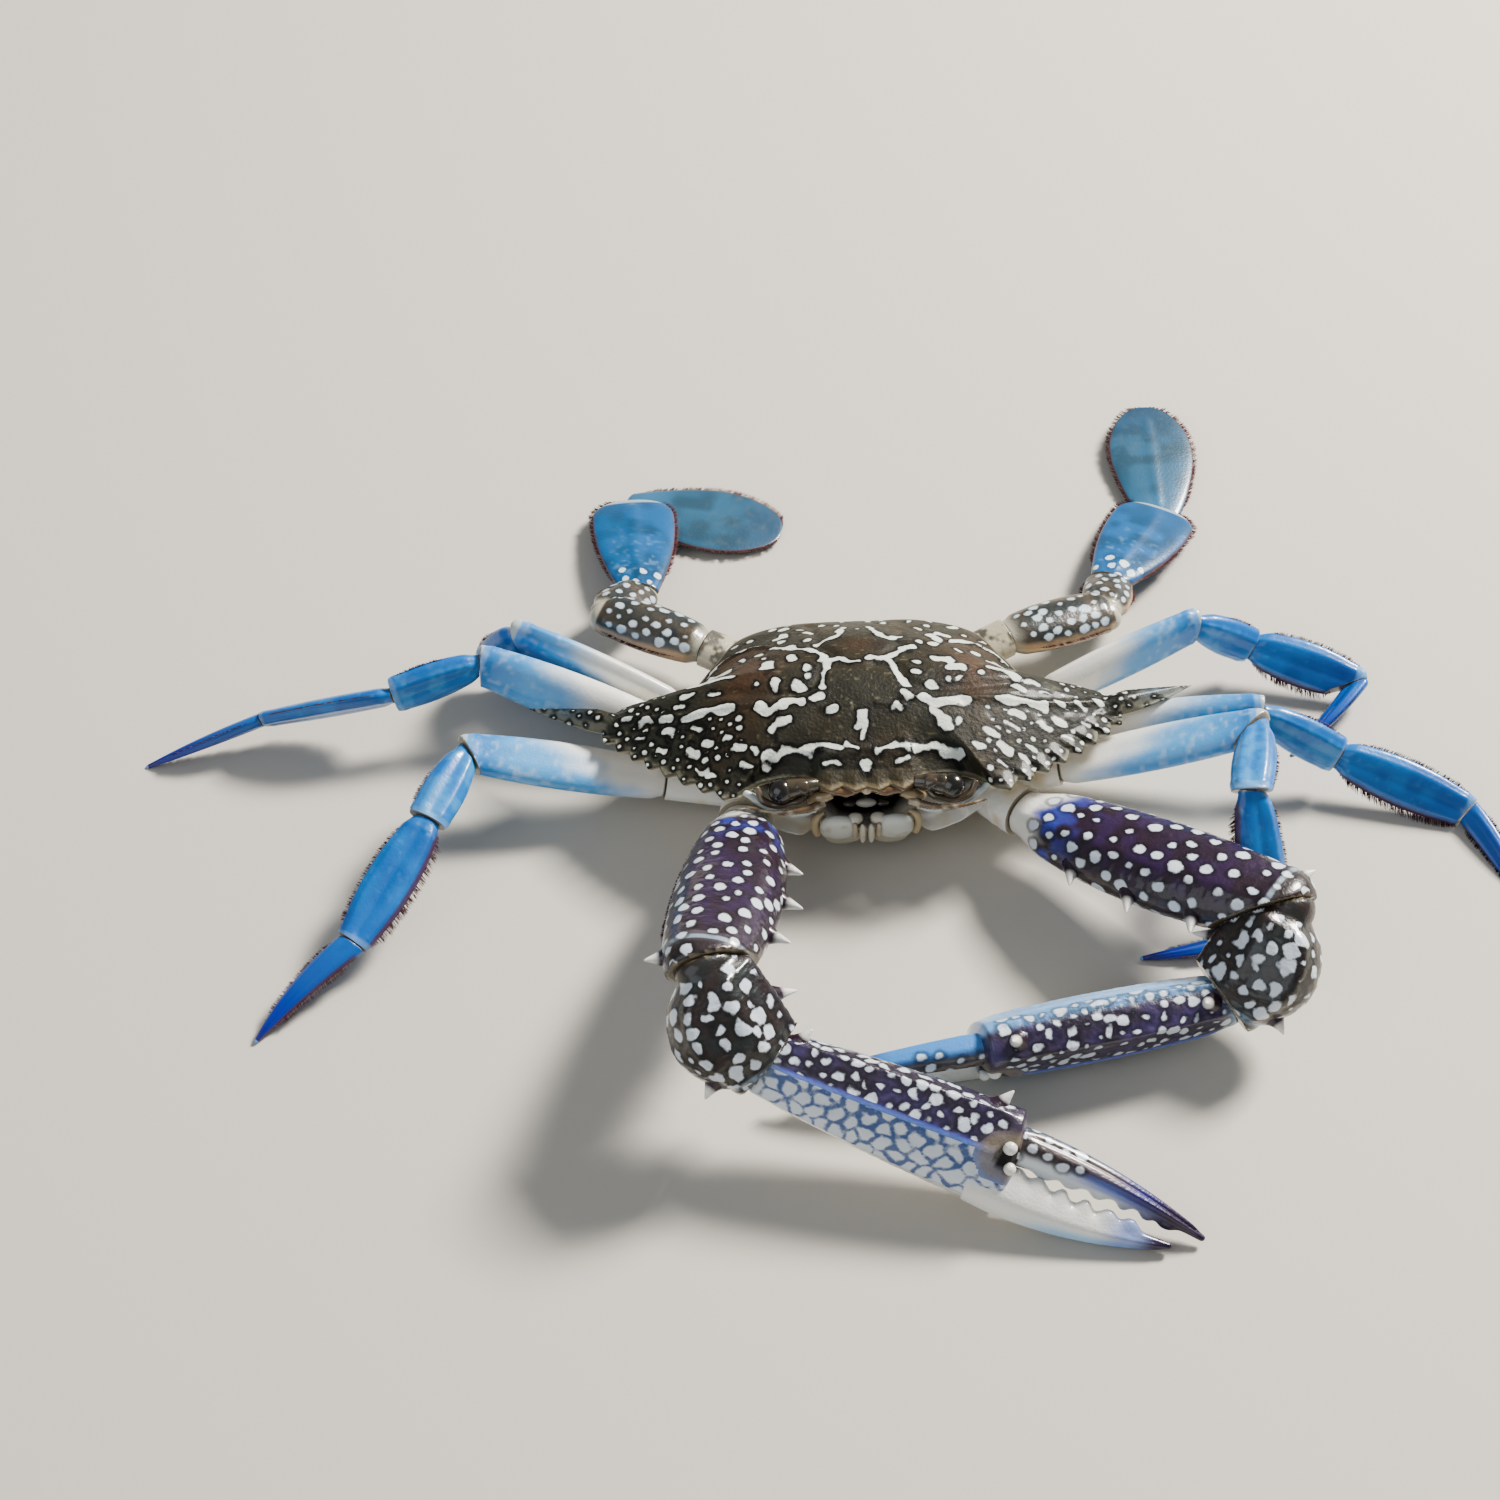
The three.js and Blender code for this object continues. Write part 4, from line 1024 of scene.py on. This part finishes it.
def palm_extras(piece, length, edge):
    """The fixed finger with its blunt teeth, and the knobs of the hinge."""
    start, end = np.array(FIXED_FINGER["start"]), np.array(FIXED_FINGER["end"])
    reach = end[0] - start[0]
    ridges = [(90, 16, 0.25), (150, 10, 0.2)]
    rings, s, degrees = plate(FIXED_FORM, reach, 1, 110, 80, False, ridges, TOOTH_ROWS["propodus"], 0.02)
    t = np.clip(s / reach, 0, 1)
    rings[..., 1] += FIXED_FINGER["bow"] * 4 * t * (1 - t)
    rings += start
    rings[..., 1:] += (end - start)[1:] * t[..., None]
    rings[..., 1] *= edge
    tint = coats(
        mix(WHITE, "9cc6ea", 0.9 * around(degrees, 150, 40, 20) * smooth(0.2, 0.5, t)),
        ("6c86c8", 0.8 * smooth(0.62, 0.8, t)),
        (DUSK, smooth(0.8, 0.95, t)),
    )
    piece.add(rings, tint)
    for x, y, radius in ((length - 0.6, 0.6, 1.5), (length + 0.6, -3.6, 1.3)):
        piece.add(ball((x, edge * y, 5.2), radius, 12, 20, cut=0.1), "e6e4dc")


def claw_spines(piece, joint, form, length, edge):
    for t, border, reach in CLAW_SPINES.get(joint, ()):
        foot = [t * length, edge * (edge_of(form, t, border) - border * 1.2), 0]
        spine, share = spike(foot, [0.35, edge * border, 0], 2.2, reach + 1.5)
        piece.add(spine, mix(PLUM, WHITE, smooth(0.4, 0.62, share)))


def hinge_hollow(rings, tint, mark, length, edge, seed):
    """Sinks the hollow on the palm that the movable finger turns in, and paints its middle near black as
    shade.
    """
    hole = [length - 0.4, edge * -1.6, 5.4]
    off = np.linalg.norm((rings - hole) / [3.6, 2.8, 3.2], axis=-1) + 0.12 * noise(rings, 1.6, seed)
    rings[..., 2] -= 1.3 * smooth(1.1, 0.5, off)
    # painted shade: near black in the middle of the hollow, with a grey-brown ring round it
    tint = coats(tint, ("8a7f6c", 0.8 * smooth(2.4, 1.4, off)), ("0b0908", smooth(1.05, 0.85, off)))
    return tint, np.where(off < 1.9, UNMARKED, mark)


def hairs(roots, directions, lengths):
    """Thin bent three-sided spikes."""
    side = unit(np.cross(directions, [0.1, 0.3, 0.95]))
    rise = np.cross(directions, side)
    corners = []
    for share, size, sag in ((0.0, 1.0, 0.0), (0.55, 0.7, 0.04)):
        for k in range(3):
            spoke = math.cos(2.1 * k) * side + math.sin(2.1 * k) * rise
            middle = roots + directions * (share * lengths)[:, None] - rise * sag
            corners.append(middle + spoke * HAIR_THICK * size)
    corners.append(roots + directions * lengths[:, None] - rise * (0.12 * lengths)[:, None])
    points = np.stack(corners, 1).reshape(-1, 3)
    base = np.arange(len(roots))[:, None] * 7
    faces = []
    for k in range(3):
        n = (k + 1) % 3
        faces += (base + [k, n, 3 + n, 3 + k]).tolist()
        faces += (base + [3 + k, 3 + n, 6]).tolist()
    return points, faces


FRINGES = {
    ("walking", "propodus"): [(0, 0.06, 0.97, 2.1), (180, 0.08, 0.96, 1.1)],
    ("walking", "dactyl"): [(0, 0.06, 0.86, 1.5), (180, 0.06, 0.86, 1.0)],
    ("walking", "carpus"): [(180, 0.3, 0.95, 0.9)],
    ("swimming", "merus"): [(0, 0.2, 0.95, 1.3), (180, 0.2, 0.95, 1.1)],
    ("swimming", "carpus"): [(180, 0.2, 0.95, 1.2), (0, 0.2, 0.9, 1.2)],
    ("swimming", "propodus"): [(0, 0.08, 1.2, 1.5), (180, 0.08, 1.2, 1.5)],
    ("swimming", "dactyl"): [(0, 0.02, 1.2, 1.5), (180, 0.02, 1.2, 1.5)],
    ("cheliped", "merus"): [(180, 0.1, 0.9, 0.8)],
}


def fringe(rings, s, length, rows, seed):
    """Roots, directions and lengths of the hairs that line the borders of a joint, in its own frame."""
    rng = np.random.default_rng(seed)
    middle = rings.mean(axis=1)
    sides = rings.shape[1]
    found = []
    for at, low, high, reach in rows:
        column = int(round(at / 360 * sides)) % sides
        line = rings[:, column]
        inside = (s[:, 0] >= low * length) & (s[:, 0] <= high * length)
        line, centre = line[inside], middle[inside]
        gap = np.linalg.norm(np.diff(line, axis=0), axis=1)
        run = np.concatenate([[0], np.cumsum(gap)])
        count = int(run[-1] / HAIR_GAP)
        u = np.sort(rng.uniform(0, run[-1], count))
        roots = np.stack([np.interp(u, run, line[:, n]) for n in range(3)], -1)
        hubs = np.stack([np.interp(u, run, centre[:, n]) for n in range(3)], -1)
        out = unit(roots - hubs)
        aim = unit(out + [0.45, 0, 0] + rng.normal(0, 0.13, out.shape))
        fade = np.clip(np.minimum(u, run[-1] - u) / 3, 0.35, 1)
        found.append((roots - out * 0.15, aim, reach * fade * rng.uniform(0.7, 1.1, count)))
    return [np.concatenate(part) for part in zip(*found)]


LOOKS = {"cheliped": (CLAW, "claw"), "walking": (LEG, "leg"), "swimming": (SWIMMER, "swimmer")}
ROUGHNESS = {"cheliped": 0.16, "walking": 0.03, "swimming": 0.05}


def between(frames, a, b):
    """The direction halfway between two joints of a limb, in the frame of the second."""
    return unit((frames[a][1][:, 0] + frames[b][1][:, 0]) @ frames[b][1])


def joint_look(kind, joint):
    """The material and the slot of a joint."""
    if joint == "base" and kind != "swimming":
        return PALE, "pale"
    if kind == "swimming" and joint in ("propodus", "dactyl"):
        return PADDLE, "paddle"
    return LOOKS[kind]


def make_joint(side, limb, k, frames):
    """The plate of one joint, named after its node. Returns its hairs, if it has any."""
    edge = 1 if side == "right" else -1
    kind, joint, length = KIND[limb], JOINTS[k], LIMBS[limb]["lengths"][k]
    place, turned = frames[k]
    if joint == "base":
        inward = LIMBS[limb]["inward"]
        place, length = place - turned[:, 0] * inward, length + inward
    form = FORMS[kind][joint]
    seed = 31 * (k + 1) + 7 * list(LIMBS).index(limb) + (side == "left")
    leaf = "leaf" in form
    palm = (kind, joint) == ("cheliped", "propodus")
    socket = joint not in ("base", "dactyl") and not palm and not leaf
    teeth = TOOTH_ROWS["dactyl"] if (kind, joint) == ("cheliped", "dactyl") else None
    rough = ROUGHNESS[kind] * (joint != "dactyl")
    waist = (0.8, 11) if (kind, joint) == ("cheliped", "merus") else (0.84, 3.2)
    count, sides = (n for n in MESH[kind])
    ridges = RIDGES.get((kind, joint), ())
    rings, s, degrees = plate(form, length, edge, count, sides, socket, ridges, teeth, rough, waist)
    whole_rings = rings.copy()
    if k > 0 and not (leaf and joint == "dactyl"):
        back = between(frames, k - 1, k)
        rings = bring_back(rings, back * GAP / 2, -back, -X_AXIS)
    if joint != "dactyl" and not leaf and not palm:
        ahead = between(frames, k + 1, k)
        rings = bring_back(rings, X_AXIS * length - ahead * GAP / 2, ahead, X_AXIS)
    cut = np.linalg.norm(rings - whole_rings, axis=-1) > 0.01
    if leaf:
        rings[..., 2] += 0.5 if joint == "propodus" else -0.3
    if kind == "cheliped":
        tint, mark = paint_cheliped(joint, side, rings, s, degrees, length, seed)
    elif kind == "walking":
        tint, mark = paint_walking(joint, rings, s, degrees, length, seed), UNMARKED
    else:
        tint, mark = paint_swimming(joint, rings, s, degrees, length, seed)
    tint = mix(tint, "8d8168", 0.85 * cut)
    mark = np.where(cut, UNMARKED, mark)
    if palm:
        tint, mark = hinge_hollow(rings, tint, mark, length, edge, seed)
    piece = Piece(place, turned)
    piece.add(rings, tint, mark)
    if palm:
        palm_extras(piece, length, edge)
    if kind == "cheliped":
        claw_spines(piece, joint, form, length, edge)
    name = f"{limb}_{side}_{joint}"
    piece.finish(f"{name}_plate", *joint_look(kind, joint), [name])
    rows = FRINGES.get((kind, joint))
    if not rows:
        return []
    roots, aims, lengths = fringe(rings, s, length, rows, seed)
    return [hairs(roots @ turned.T + place, aims @ turned.T, lengths)]


def make_limb(side, limb):
    frames = limb_frames(side, limb)
    parts = [part for k in range(len(JOINTS)) for part in make_joint(side, limb, k, frames)]
    points, faces = join(parts)
    points[:, 2] = np.maximum(points[:, 2], HAIR_FLOOR_GAP)
    add_mesh(f"{limb}_{side}_hairs", points, faces, HAIR)


for side in ("right", "left"):
    for limb in LIMBS:
        make_limb(side, limb)


def body_piece():
    return Piece(np.array(BODY["at"]), BODY_TURN)


# ---- Trunk, abdomen, mouth, eyes and feelers ----
# Height, and how wide and long the trunk is there as a share of the shell
TRUNK_LEVELS = [
    (-10.9, 0.92, 0.93), (-13.2, 0.84, 0.85), (-19, 0.6, 0.85), (-23.5, 0.5, 0.88), (BELLY_Z, 0.38, 0.62),
]
TRUNK_CENTRE = np.array([0.0, -3.0])
LEG_ROOTS = [np.array(LIMBS[limb]["root"][:2]) for limb in LIMBS]
FACE = {"mouth_z": -16.4, "mouth_half": (11.2, 5.4), "eye": (18.6, -30, -8.3), "eye_radius": 2.75}


def make_trunk():
    """The trunk, with its cheeks, eye sockets, mouth hollow painted near black as shade, the ridges round
    them and the belly's seams.
    """
    levels = catmull(TRUNK_LEVELS, 70)
    ring = BASE[:: 2]
    shapes = [(TRUNK_CENTRE + (ring - TRUNK_CENTRE) * [x, y], z) for z, x, y in levels]
    rings = np.array([np.column_stack([plan, np.full(len(plan), z)]) for plan, z in shapes])
    closing = [rings[-1] * [k, k, 1] + [0, -3 * (1 - k), 0] for k in (0.8, 0.5, 0.2)]
    opening = [rings[0] * [k, k, 1] + [0, -3 * (1 - k), 0] for k in (0.3, 0.7)]
    rings = np.concatenate([opening, rings, closing])
    x, y, z = rings[..., 0].copy(), rings[..., 1].copy(), rings[..., 2]
    across = np.abs(x)
    cheek = bell(z + 19.6, 2.8) * smooth(8, 13, across) * smooth(-8, -16, y)
    rings[..., 0] += np.sign(x) * 5.5 * cheek
    rings[..., 1] += -1.2 * cheek
    front = smooth(-19, -23, y)
    mouth = np.hypot(x / FACE["mouth_half"][0], (z - FACE["mouth_z"]) / FACE["mouth_half"][1])
    hollow = smooth(1.15, 0.75, mouth) * front
    socket = smooth(6.6, 3.4, np.hypot(across - FACE["eye"][0], z - FACE["eye"][2] + 0.6)) * front
    seen = np.stack([across, z], -1).reshape(-1, 2)
    ridge = line_distance(seen, [(11, -15.8), (14.6, -15.6), (18.3, -14.4), (22.4, -12)]).reshape(x.shape)
    crease = line_distance(seen, [(12.4, -14.6), (11.8, -18), (9, -22.4)]).reshape(x.shape)
    rings[..., 1] += 6 * hollow + 2.6 * socket + (bell(crease, 0.6) - 1.5 * bell(ridge, 0.9)) * front
    below = smooth(-18, -23, z) * smooth(-19, -15, y)
    plan = np.stack([across, y], -1).reshape(-1, 2)
    for a, b in zip(LEG_ROOTS[:-1], LEG_ROOTS[1:]):
        end = (a + b) / 2 * [0.82, 1]
        seam = line_distance(plan, [(5.5, end[1] - 1.5), end]).reshape(x.shape)
        rings[..., 2] += 0.7 * bell(seam, 0.55) * below
    stain = smooth(-0.2, 0.8, noise(rings, 3.4, 17))
    rings[..., 1] += 0.1 * noise(rings, 1.6, 18) * front
    tint = coats(
        mix(WHITE, CREAM, 0.25 + 0.6 * stain),
        ("9a9683", 0.55 * front * smooth(9, 14, across) * smooth(-19, -15, z)),
        ("c8d6de", bell(ridge, 1.2) * front * 0.9),
        ("7b5e40", 0.8 * bell(crease, 0.6) * front),
        ("5a4028", np.clip(socket * 1.2, 0, 1)),
        ("6e5136", 0.75 * front * smooth(12, 9, across) * smooth(-17.6, -15.5, z)),
        # painted shade: the mouth hollow goes near black, standing in for the shadow deep inside it
        ("060403", np.clip(1.6 * hollow, 0, 1)),
    )
    piece = body_piece()
    piece.add(rings, tint)
    piece.finish("trunk", PALE, "belly", ["thorax"])


FLAP_PATH = [(30.4, -12.6), (30.4, -18), (26, -22.8), (17, -24.9), (6, -26.6), (-6, -27)]
FLAP_WIDTHS = (21, 25, 21, 14, 9, 4)
FLAP_SEAMS = (0.2, 0.36, 0.5, 0.72, 0.88)


def make_abdomen():
    """The narrow flap folded under the trunk, with a seam between its plates."""
    count, sides = ((130, 64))
    t = np.linspace(0, 1, count)
    centres = catmull([(0, y, z) for y, z in FLAP_PATH], count)
    slope = unit(np.gradient(centres, axis=0))
    out = np.stack([np.zeros(count), slope[:, 2], -slope[:, 1]], -1)
    width = np.interp(t * 5, range(6), FLAP_WIDTHS)
    seam = sum(bell(t - at, 0.008) for at in FLAP_SEAMS)
    bulge = 1 - 0.5 * seam + 0.35 * np.abs(np.sin(np.interp(t, (0, *FLAP_SEAMS, 1), range(7)) * math.pi))
    angle = circle(sides)
    tips = np.sqrt(np.clip(np.minimum(t, 1 - t) / 0.05, 0.02, 1))
    across = np.outer(width * tips / 2 * (1 - 0.03 * seam), boxed(np.cos(angle), 0.7))
    up = np.outer(bulge * tips, boxed(np.sin(angle), 0.7))
    rings = centres[:, None] + across[..., None] * X_AXIS + up[..., None] * out[:, None]
    tint = mix(WHITE, CREAM, 0.2 + 0.5 * smooth(-0.3, 0.8, noise(rings, 4, 41)))
    tint = mix(tint, "8f8468", 0.6 * np.repeat(np.clip(seam, 0, 1)[:, None], sides, 1))
    piece = body_piece()
    piece.add(rings, tint)
    piece.finish("abdomen_plates", PALE, "belly", ["abdomen"])


MOUTH_LEAN = 22  # degrees that the mouthparts tip


def make_mouth(side):
    """The plates of an outer mouthpart, its palp and its slim outer branch."""
    sign = 1 if side == "left" else -1
    piece = body_piece()
    lean = turn(0, MOUTH_LEAN)
    lobes = [
        ((6.3, -28.4, -20.6), (4.1, 1.7, 4.5), "c9cbc4"),
        ((5.2, -25, -26), (4, 1.4, 2.4), "b5af9c"),
        ((2.5, -28.8, -17.9), (1.7, 1.3, 1.2), "cfcabb"),
        ((0.95, -29.8, -21.4), (0.75, 1.0, 3.9), "c6c0b0"),
        ((2.6, -29.4, -20.9), (0.7, 0.9, 3.1), "b3a892"),
    ]
    for centre, radii, colour in lobes:
        oval = ball((0, 0, 0), radii, 26, 36, 0.03)
        rings = (boxed(oval / radii, 0.86) * radii) @ lean.T + centre
        rings[..., 0] *= sign
        piece.add(rings, mix(colour, "a08a6a", 0.5 * smooth(0.1, 0.8, noise(rings, 1.7, 3))))
    path = [(10.8, -26.2, -24), (11.4, -27.2, -20.6), (10.8, -27.8, -18), (9.2, -28, -16.6)]
    branch = tube(np.array(path) * [sign, 1, 1], (1.0, 1.05, 0.9, 0.3), 30, 14)
    piece.add(branch, "b9a988")
    piece.finish(f"maxilliped_{side}_plates", PALE, "belly", [f"maxilliped_{side}"])


FEELER = [(9.4, -30.4, -11.8), (14, -32.6, -11.8), (20, -33.2, -11.6), (26, -32.6, -10.4)]


def make_face(side):
    """One side's eye on its stalk, feelers, and the small plates and ridges round them."""
    sign = 1 if side == "left" else -1
    eye = np.array(FACE["eye"]) * [sign, 1, 1]
    eyes = body_piece()
    globe = ball(eye, FACE["eye_radius"] * np.array([1.06, 1, 1]), 36, 48)
    pale = smooth(0.2, 0.9, (globe - eye)[..., 0] * -sign / 2.9)
    eyes.add(globe, mix("1f1b17", "544a3a", pale))
    path = np.array([(-8, 1.2, 0.6), (-5, 0.5, 0.8), (-1.5, 0.2, 0.3)])
    stalk = tube(eye + path * [sign, 1, 1], (1.4, 1.8, 2.3), 30, 24)
    eyes.add(stalk, mix("4a4234", "2b251d", smooth(-0.3, 0.6, noise(stalk, 1.6, 7))))
    eyes.finish(f"eye_{side}_globe", FLESH, "eye", [f"eye_{side}"])

    feelers = body_piece()
    whip = tube(np.array(FEELER) * [sign, 1, 1], (1.1, 0.75, 0.42, 0.26), 60, 14)
    whip = whip + 0.05 * np.sin(np.arange(60) * 2.2)[:, None, None]
    feelers.add(whip, mix("6f5a42", "b3a58a", smooth(-0.2, 0.6, noise(whip, 1.2, 4))))
    bits = [
        ([(12.4, -28.4, -12.4), (10.2, -29.6, -10.9), (7.4, -29.9, -9.8)], (1.1, 1.4, 1.0), "a3906e"),
        ([(1.3, -30, -8.4), (4.2, -30.9, -8.5), (7.6, -30.6, -8.2), (9.8, -29.6, -8)],
         (0.7, 1.0, 0.9, 0.7), "75583c"),
        ([(2, -29.6, -9.6), (4.4, -30.4, -9.4), (6.6, -30.2, -9)], (0.5, 0.7, 0.5), "c9b795"),
        ([(0.8, -28.4, -10.4), (4.6, -28.4, -10.6), (8.6, -28.2, -11.4), (11.4, -27.8, -12.6)],
         (0.4, 0.5, 0.5, 0.5), "46321f"),
        ([(12, -29.2, -9), (13.8, -30, -7.4), (15.6, -30.4, -7)], (1.2, 1.7, 1.1), "4a4033"),
        ([(24, -28.4, -8.4), (22.4, -30.2, -10.8), (18.8, -30.9, -11.7), (15, -30.4, -11), (13, -29.2, -9.4)],
         (0.7, 0.85, 0.8, 0.85, 0.7), "5f5240"),
        ([(27.4, -28, -9.4), (22.6, -29.1, -12.2), (18.3, -29.3, -14.4), (14.6, -28.7, -15.6),
          (11.2, -27.6, -16)],
         (0.6, 1.1, 1.3, 1.1, 0.7), "c3ccc8"),
    ]
    for path, radii, colour in bits:
        rings = tube(np.array(path) * [sign, 1, 1], radii, 44, 20)
        rings = rings + 0.16 * shake(rings, 1.5, 1)
        feelers.add(rings, mix(colour, "3f3023", 0.6 * smooth(0.0, 0.7, noise(rings, 1.9, 12))))
    feelers.finish(f"antenna_{side}_parts", FLESH, "feeler", [f"antenna_{side}"])


def make_middle():
    """The knobs of the nose and the jaws inside the mouth."""
    piece = body_piece()
    for centre, radii, colour in (
        ((0, -30.4, -8.4), (1.2, 1.2, 1.0), "c9b79a"),
        ((0, -28.2, -10.2), (2, 0.9, 0.7), "57432f"),
        ((0, -25.4, -16.3), (2.3, 1.1, 1.1), "b9b6a8"),
        ((-3.6, -24.4, -17.2), (1.5, 1, 0.7), "57504a"),
        ((3.6, -24.4, -17.2), (1.5, 1, 0.7), "57504a"),
    ):
        rings = ball(centre, radii, 20, 28, 0.05)
        piece.add(rings, colour)
    piece.finish("nose_and_jaws", FLESH, "belly", [])


make_trunk()
make_abdomen()
make_middle()
for side in ("right", "left"):
    make_mouth(side)
    make_face(side)


# ---- Camera, floor, light ----
def look_at(obj, at, aim):
    """Places obj at one point, facing another, with no roll. Both points are in millimetres."""
    direction = unit(np.subtract(aim, at))
    flat = math.hypot(direction[0], direction[1])
    obj.location = [v * MM for v in at]
    obj.rotation_euler = (math.atan2(flat, -direction[2]), 0, math.atan2(-direction[0], direction[1]))


def area(name, at, aim, size, power, colour=(1, 1, 1)):
    data = bpy.data.lights.new(name, "AREA")
    data.shape = "RECTANGLE"
    data.size, data.size_y = size
    data.energy = power
    data.color = colour
    look_at(new_object(name, data), at, aim)


# The photo's camera, on a plain pale floor. The floor is measured in metres.
SENSOR, LENS = 36, 72
CAMERA_AT, CAMERA_AIM = (-23.2, -451.05, 515.0), (-16.32, 12.6, 0.0)
FLOOR_CORNERS = [(-6, -4, 0), (6, -4, 0), (6, 8, 0), (-6, 8, 0)]

camera_data = bpy.data.cameras.new("camera")
camera_data.sensor_fit = "AUTO"
camera_data.sensor_width = SENSOR
camera_data.lens = LENS
camera_data.clip_end = 50
camera = new_object("camera", camera_data)
look_at(camera, CAMERA_AT, CAMERA_AIM)
bpy.context.scene.camera = camera

floor_mesh = bpy.data.meshes.new("floor")
floor_mesh.from_pydata(FLOOR_CORNERS, [], [(0, 1, 2, 3)])
floor_mesh.materials.append(FLOOR)
new_object("floor", floor_mesh)

area("key", (980, 760, 1150), (0, 0, 0), (0.4, 0.4), 62, (1, 0.96, 0.9))
area("fill", (-900, -900, 900), (0, 0, 0), (1.4, 1.4), 7, (0.9, 0.95, 1))
world = bpy.context.scene.world or bpy.data.worlds.new("world")
bpy.context.scene.world = world
world.use_nodes = True
world.node_tree.nodes["Background"].inputs["Color"].default_value = (0.92, 0.95, 1, 1)
world.node_tree.nodes["Background"].inputs["Strength"].default_value = 0.28
bpy.context.scene.view_settings.view_transform = "AgX"
bpy.context.scene.view_settings.look = "AgX - Medium High Contrast"
